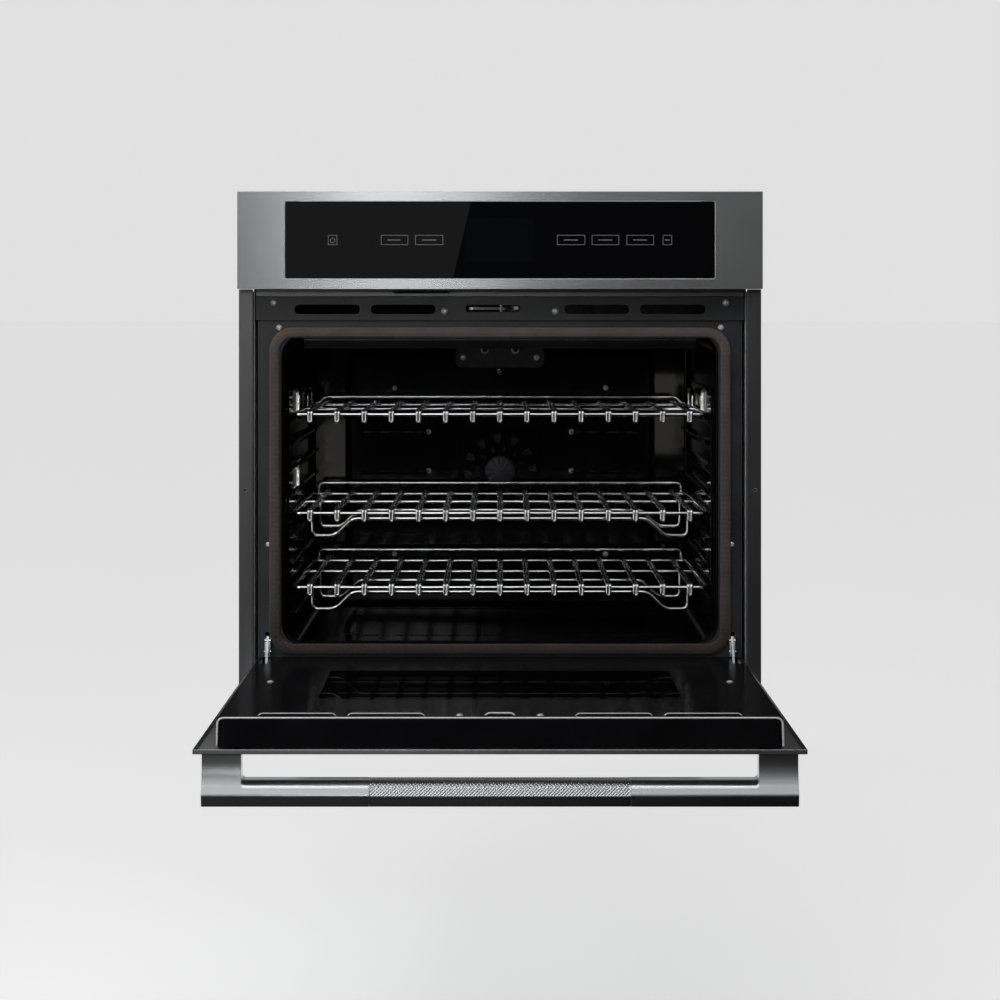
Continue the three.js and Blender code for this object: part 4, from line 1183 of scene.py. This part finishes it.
def knurled_grip(section, lip):
    """The sleeve: crossing grooves above the lip, shallower towards its ends."""
    low, high = box("handle_grip")
    length = high.x - low.x
    count = round(length / KNURL_STEP)
    girth = sum(math.hypot(b[0] - a[0], b[1] - a[1]) for a, b in zip(section, section[1:] + section[:1]))
    diamonds = round(girth / KNURL_PITCH)
    bm = bmesh.new()
    rings = []
    for i in range(count + 1):
        x = low.x + length * i / count
        depth = min(1.0, min(x - low.x, high.x - x) / 2) * KNURL_DEPTH
        ring = []
        travelled = 0.0
        for k, (y, z, ny, nz) in enumerate(section):
            if k:
                travelled += math.hypot(y - section[k - 1][0], z - section[k - 1][1])
            round_it = travelled / girth * diamonds
            along = (x - low.x) / KNURL_PITCH
            above_lip = min(1.0, max(0.0, (z - lip) / 1.5))
            drop = 0.15 + above_lip * depth * max(groove(along + round_it), groove(along - round_it))
            ring.append(bm.verts.new((x, y - ny * drop, z - nz * drop)))
        rings.append(ring)
    bridge(bm, rings)
    caps(bm, rings[-1], rings[0])
    piece("handle_grip_knurled", bm, "handle_grip", instead=True, sharp=60)


def dense_loop(points, step):
    """A closed loop of (u, v) points resampled evenly, each with its outward direction."""
    loop = [Vector(p) for p in points]
    area = sum(a.x * b.y - b.x * a.y for a, b in zip(loop, loop[1:] + loop[:1]))
    facing = 1 if area > 0 else -1
    dense = []
    for a, b in zip(loop, loop[1:] + loop[:1]):
        pieces = max(1, round((b - a).length / step))
        dense += [a.lerp(b, i / pieces) for i in range(pieces)]
    out = []
    for i, here in enumerate(dense):
        ahead = dense[(i + 1) % len(dense)] - dense[i - 1]
        ahead.normalize()
        out.append((here.x, here.y, ahead.y * facing, -ahead.x * facing))
    return out


def groove(t):
    """Depth of a V-shaped groove at each whole number, from 0 between grooves to 1 at its bottom."""
    away = abs((t % 1.0) - 0.5) * 2
    return max(0.0, (away - 0.35) / 0.65)


# ------------------------------------------------------------------ outer case

def outer_case():
    for node in ("base_pan", "rear_panel", "top_cover", "left_side_panel", "right_side_panel", "junction_box",
                 "conduit_gland", "blower_housing", "plenum_plate"):
        refined(node, 0.4)
    for word, side in SIDES:
        low, high = box(f"{word}_side_panel")
        face = high.x if side > 0 else low.x
        spots = [(face, y, z) for y in (low.y + 14, low.y + 190, low.y + 380, high.y - 14)
                 for z in (low.z + 14, high.z - 14)]
        screws(f"{word}_side_screws", f"{word}_side_panel", spots, 3.6, (side, 0, 0))
    low, high = box("rear_panel")
    spots = [(x, high.y, z) for x in (low.x + 14, 0, high.x - 14) for z in (low.z + 12, high.z - 12)]
    screws("rear_screws", "rear_panel", spots, 3.6, (0, 1, 0))
    low, high = box("top_cover")
    spots = [(x, y, high.z) for x in (low.x + 20, 0, high.x - 20) for y in (low.y + 60, high.y - 20)]
    screws("top_screws", "top_cover", spots, 3.6, (0, 0, 1))


# ------------------------------------------------------------------ stage, in metres

BACKDROP = (0.75, 0.75, 0.75)
FLOOR_DROP = 0.4  # the open door reaches below the oven
FLOOR_REACH = 90


def new_object(name, data):
    made = bpy.data.objects.new(name, data)
    bpy.context.scene.collection.objects.link(made)
    return made


def flat_sheet(name, corners, material):
    """A flat face that belongs to the studio and not to the oven."""
    mesh = bpy.data.meshes.new(name)
    mesh.from_pydata(corners, [], [tuple(range(len(corners)))])
    mesh.materials.append(material)
    made = new_object(name, mesh)
    return made


def card(name, corners, strength):
    """A flat light card that the camera does not see."""
    glow = bpy.data.materials.new(name)
    glow.use_nodes = True
    tree = glow.node_tree
    tree.nodes.clear()
    light = shader_node(tree, "ShaderNodeEmission", Color=(1, 1, 1, 1), Strength=strength)
    shader_node(tree, "ShaderNodeOutputMaterial", Surface=light.outputs["Emission"])
    flat_sheet(name, corners, glow).visible_camera = False


def strip(name, x0, x1, near, far, strength):
    """A card between two edges, each given as (y, z)."""
    card(name, [(x0, *near), (x1, *near), (x1, *far), (x0, *far)], strength)


def world():
    """Plain pale grey to the camera. For light, a wide bright area above and in front, dim elsewhere."""
    made = bpy.data.worlds.new("studio")
    bpy.context.scene.world = made
    made.use_nodes = True
    tree = made.node_tree
    shade = tree.nodes["Background"]
    coords = shader_node(tree, "ShaderNodeTexCoord").outputs["Generated"]
    axes = shader_node(tree, "ShaderNodeSeparateXYZ", Vector=coords)

    def level(axis, *stops):
        """Brightness by the direction's part along an axis, from -1 to 1."""
        spread = shader_node(tree, "ShaderNodeMapRange", From_Min=-1.0, From_Max=1.0,
                             Value=axes.outputs[axis])
        return ramp(tree, spread.outputs["Result"], [((p + 1) / 2, v) for p, v in stops])

    # Level with the oven and below it the room is dark, but for a low band that the handle mirrors.
    height = level("Z", (-0.3, 0.01), (-0.19, 0.12), (-0.1, 0.03), (0.04, 0.02), (0.2, 0.1), (0.4, 0.8),
                   (0.7, 0.5))
    side = level("X", (-0.6, 1.0), (-0.12, 0.95), (0.1, 0.4), (0.6, 0.3))
    depth = level("Y", (-0.2, 1.0), (0.5, 0.55))
    tone = mixed(tree, 1.0, mixed(tree, 1.0, height, side, "MULTIPLY"), depth, "MULTIPLY")
    camera_ray = shader_node(tree, "ShaderNodeLightPath").outputs["Is Camera Ray"]
    feed(tree, shade.inputs["Color"], mixed(tree, camera_ray, tone, (*BACKDROP, 1)))
    bright = shader_node(tree, "ShaderNodeMapRange", To_Min=1.1, To_Max=1.0, Value=camera_ray)
    feed(tree, shade.inputs["Strength"], bright.outputs["Result"])


def area_light(name, location, target, size, power, colour=(1, 1, 1)):
    data = bpy.data.lights.new(name, "AREA")
    data.shape = "RECTANGLE"
    data.size, data.size_y = size
    data.energy = power
    data.color = colour
    made = new_object(name, data)
    made.location = location
    made.rotation_euler = (Vector(target) - Vector(location)).to_track_quat("-Z", "Y").to_euler()
    made.visible_camera = False


def lamp_light(name, node, side, lift, height, power):
    """The glow of a cavity lamp, thrown back along its wall."""
    low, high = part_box(node)
    middle = (low + high) / 2
    spot = Vector((side * 0.287, middle.y + 0.03, middle.z + lift))
    area_light(name, spot, spot + Vector((-side * 0.1, 1.0, 0.0)), (0.045, height), power, (1.0, 0.97, 0.92))


def stage():
    world()
    ground = cad_low.z - FLOOR_DROP
    edge = cad_low.y + 0.55
    paper = Finish("floor_paper", (0.8, 0.8, 0.8), 0.9)
    paper.drive("Base Color", paper.ramp(paper.noise(2.0), (0.2, 0.72), (0.8, 0.74)))
    paper.set(Emission_Color=(1, 1, 1, 1), Emission_Strength=0.51)

    def floor(name, near, far):
        left, right = -FLOOR_REACH, FLOOR_REACH
        corners = [(left, near, ground), (right, near, ground), (right, far, ground), (left, far, ground)]
        return flat_sheet(name, corners, paper.made)

    floor("floor", edge, 300.0)
    # The part in front would shine up into the handle, so it only shows to the camera.
    front = floor("floor_front", -40.0, edge)
    front.visible_glossy = False
    front.visible_diffuse = False

    # The card on the left gives the control glass its slanting reflection.
    card("left_card", [(-0.188, -6.0, 0.62), (-0.106, -6.0, 0.97), (0.09, -6.0, 1.9), (-3.5, -6.0, 1.9),
                       (-3.5, -6.0, 0.62)], 0.2)
    strip("high_strip", -0.62, -0.1, (-5.9, 0.98), (-5.9, 1.6), 8.0)
    strip("lip_strip", -2.4, 1.2, (-3.6, 1.75), (-3.3, 2.3), 1.1)
    strip("top_strip", -2.4, 1.2, (-3.4, 2.8), (-3.1, 3.2), 5.0)
    area_light("key", (-1.3, -1.5, 1.7), (-0.2, -0.3, 0.5), (0.7, 0.5), 5)
    area_light("left_glow", (-1.4, -2.4, 0.3), (-0.3, -0.3, 0.35), (0.5, 0.9), 6)
    area_light("fill", (2.6, -1.4, 2.4), (0, -0.3, 0.3), (1.4, 1.4), 8)
    lamp_light("lamp_light", "lamp_left_lower", -1, 0.009, 0.11, 0.014)
    lamp_light("lamp_light_right", "lamp_right_upper", 1, -0.04, 0.14, 0.018)


def camera():
    data = bpy.data.cameras.new("camera")
    data.lens = 91.6
    data.sensor_width = 36.0
    data.shift_y = -0.186
    data.clip_end = 1000
    made = new_object("camera", data)
    made.location = (0.0, -4.0, 0.557)
    made.rotation_euler = (math.radians(90), 0, 0)
    bpy.context.scene.camera = made


bpy.context.scene.view_settings.view_transform = "Standard"
camera()
control_panel()
front_strips()
cavity_mouth()
gasket()
cavity_shell()
for word, side in SIDES:
    rack_guide(word, side)
for name in [n for n in nodes if n.startswith("lamp_")]:
    lamp(name, -1 if "left" in name else 1)
fan_cover()
elements()
rack("rack_upper", deep=False)
rack("rack_middle", deep=True)
rack("rack_lower", deep=True)
door()
outer_case()
stage()
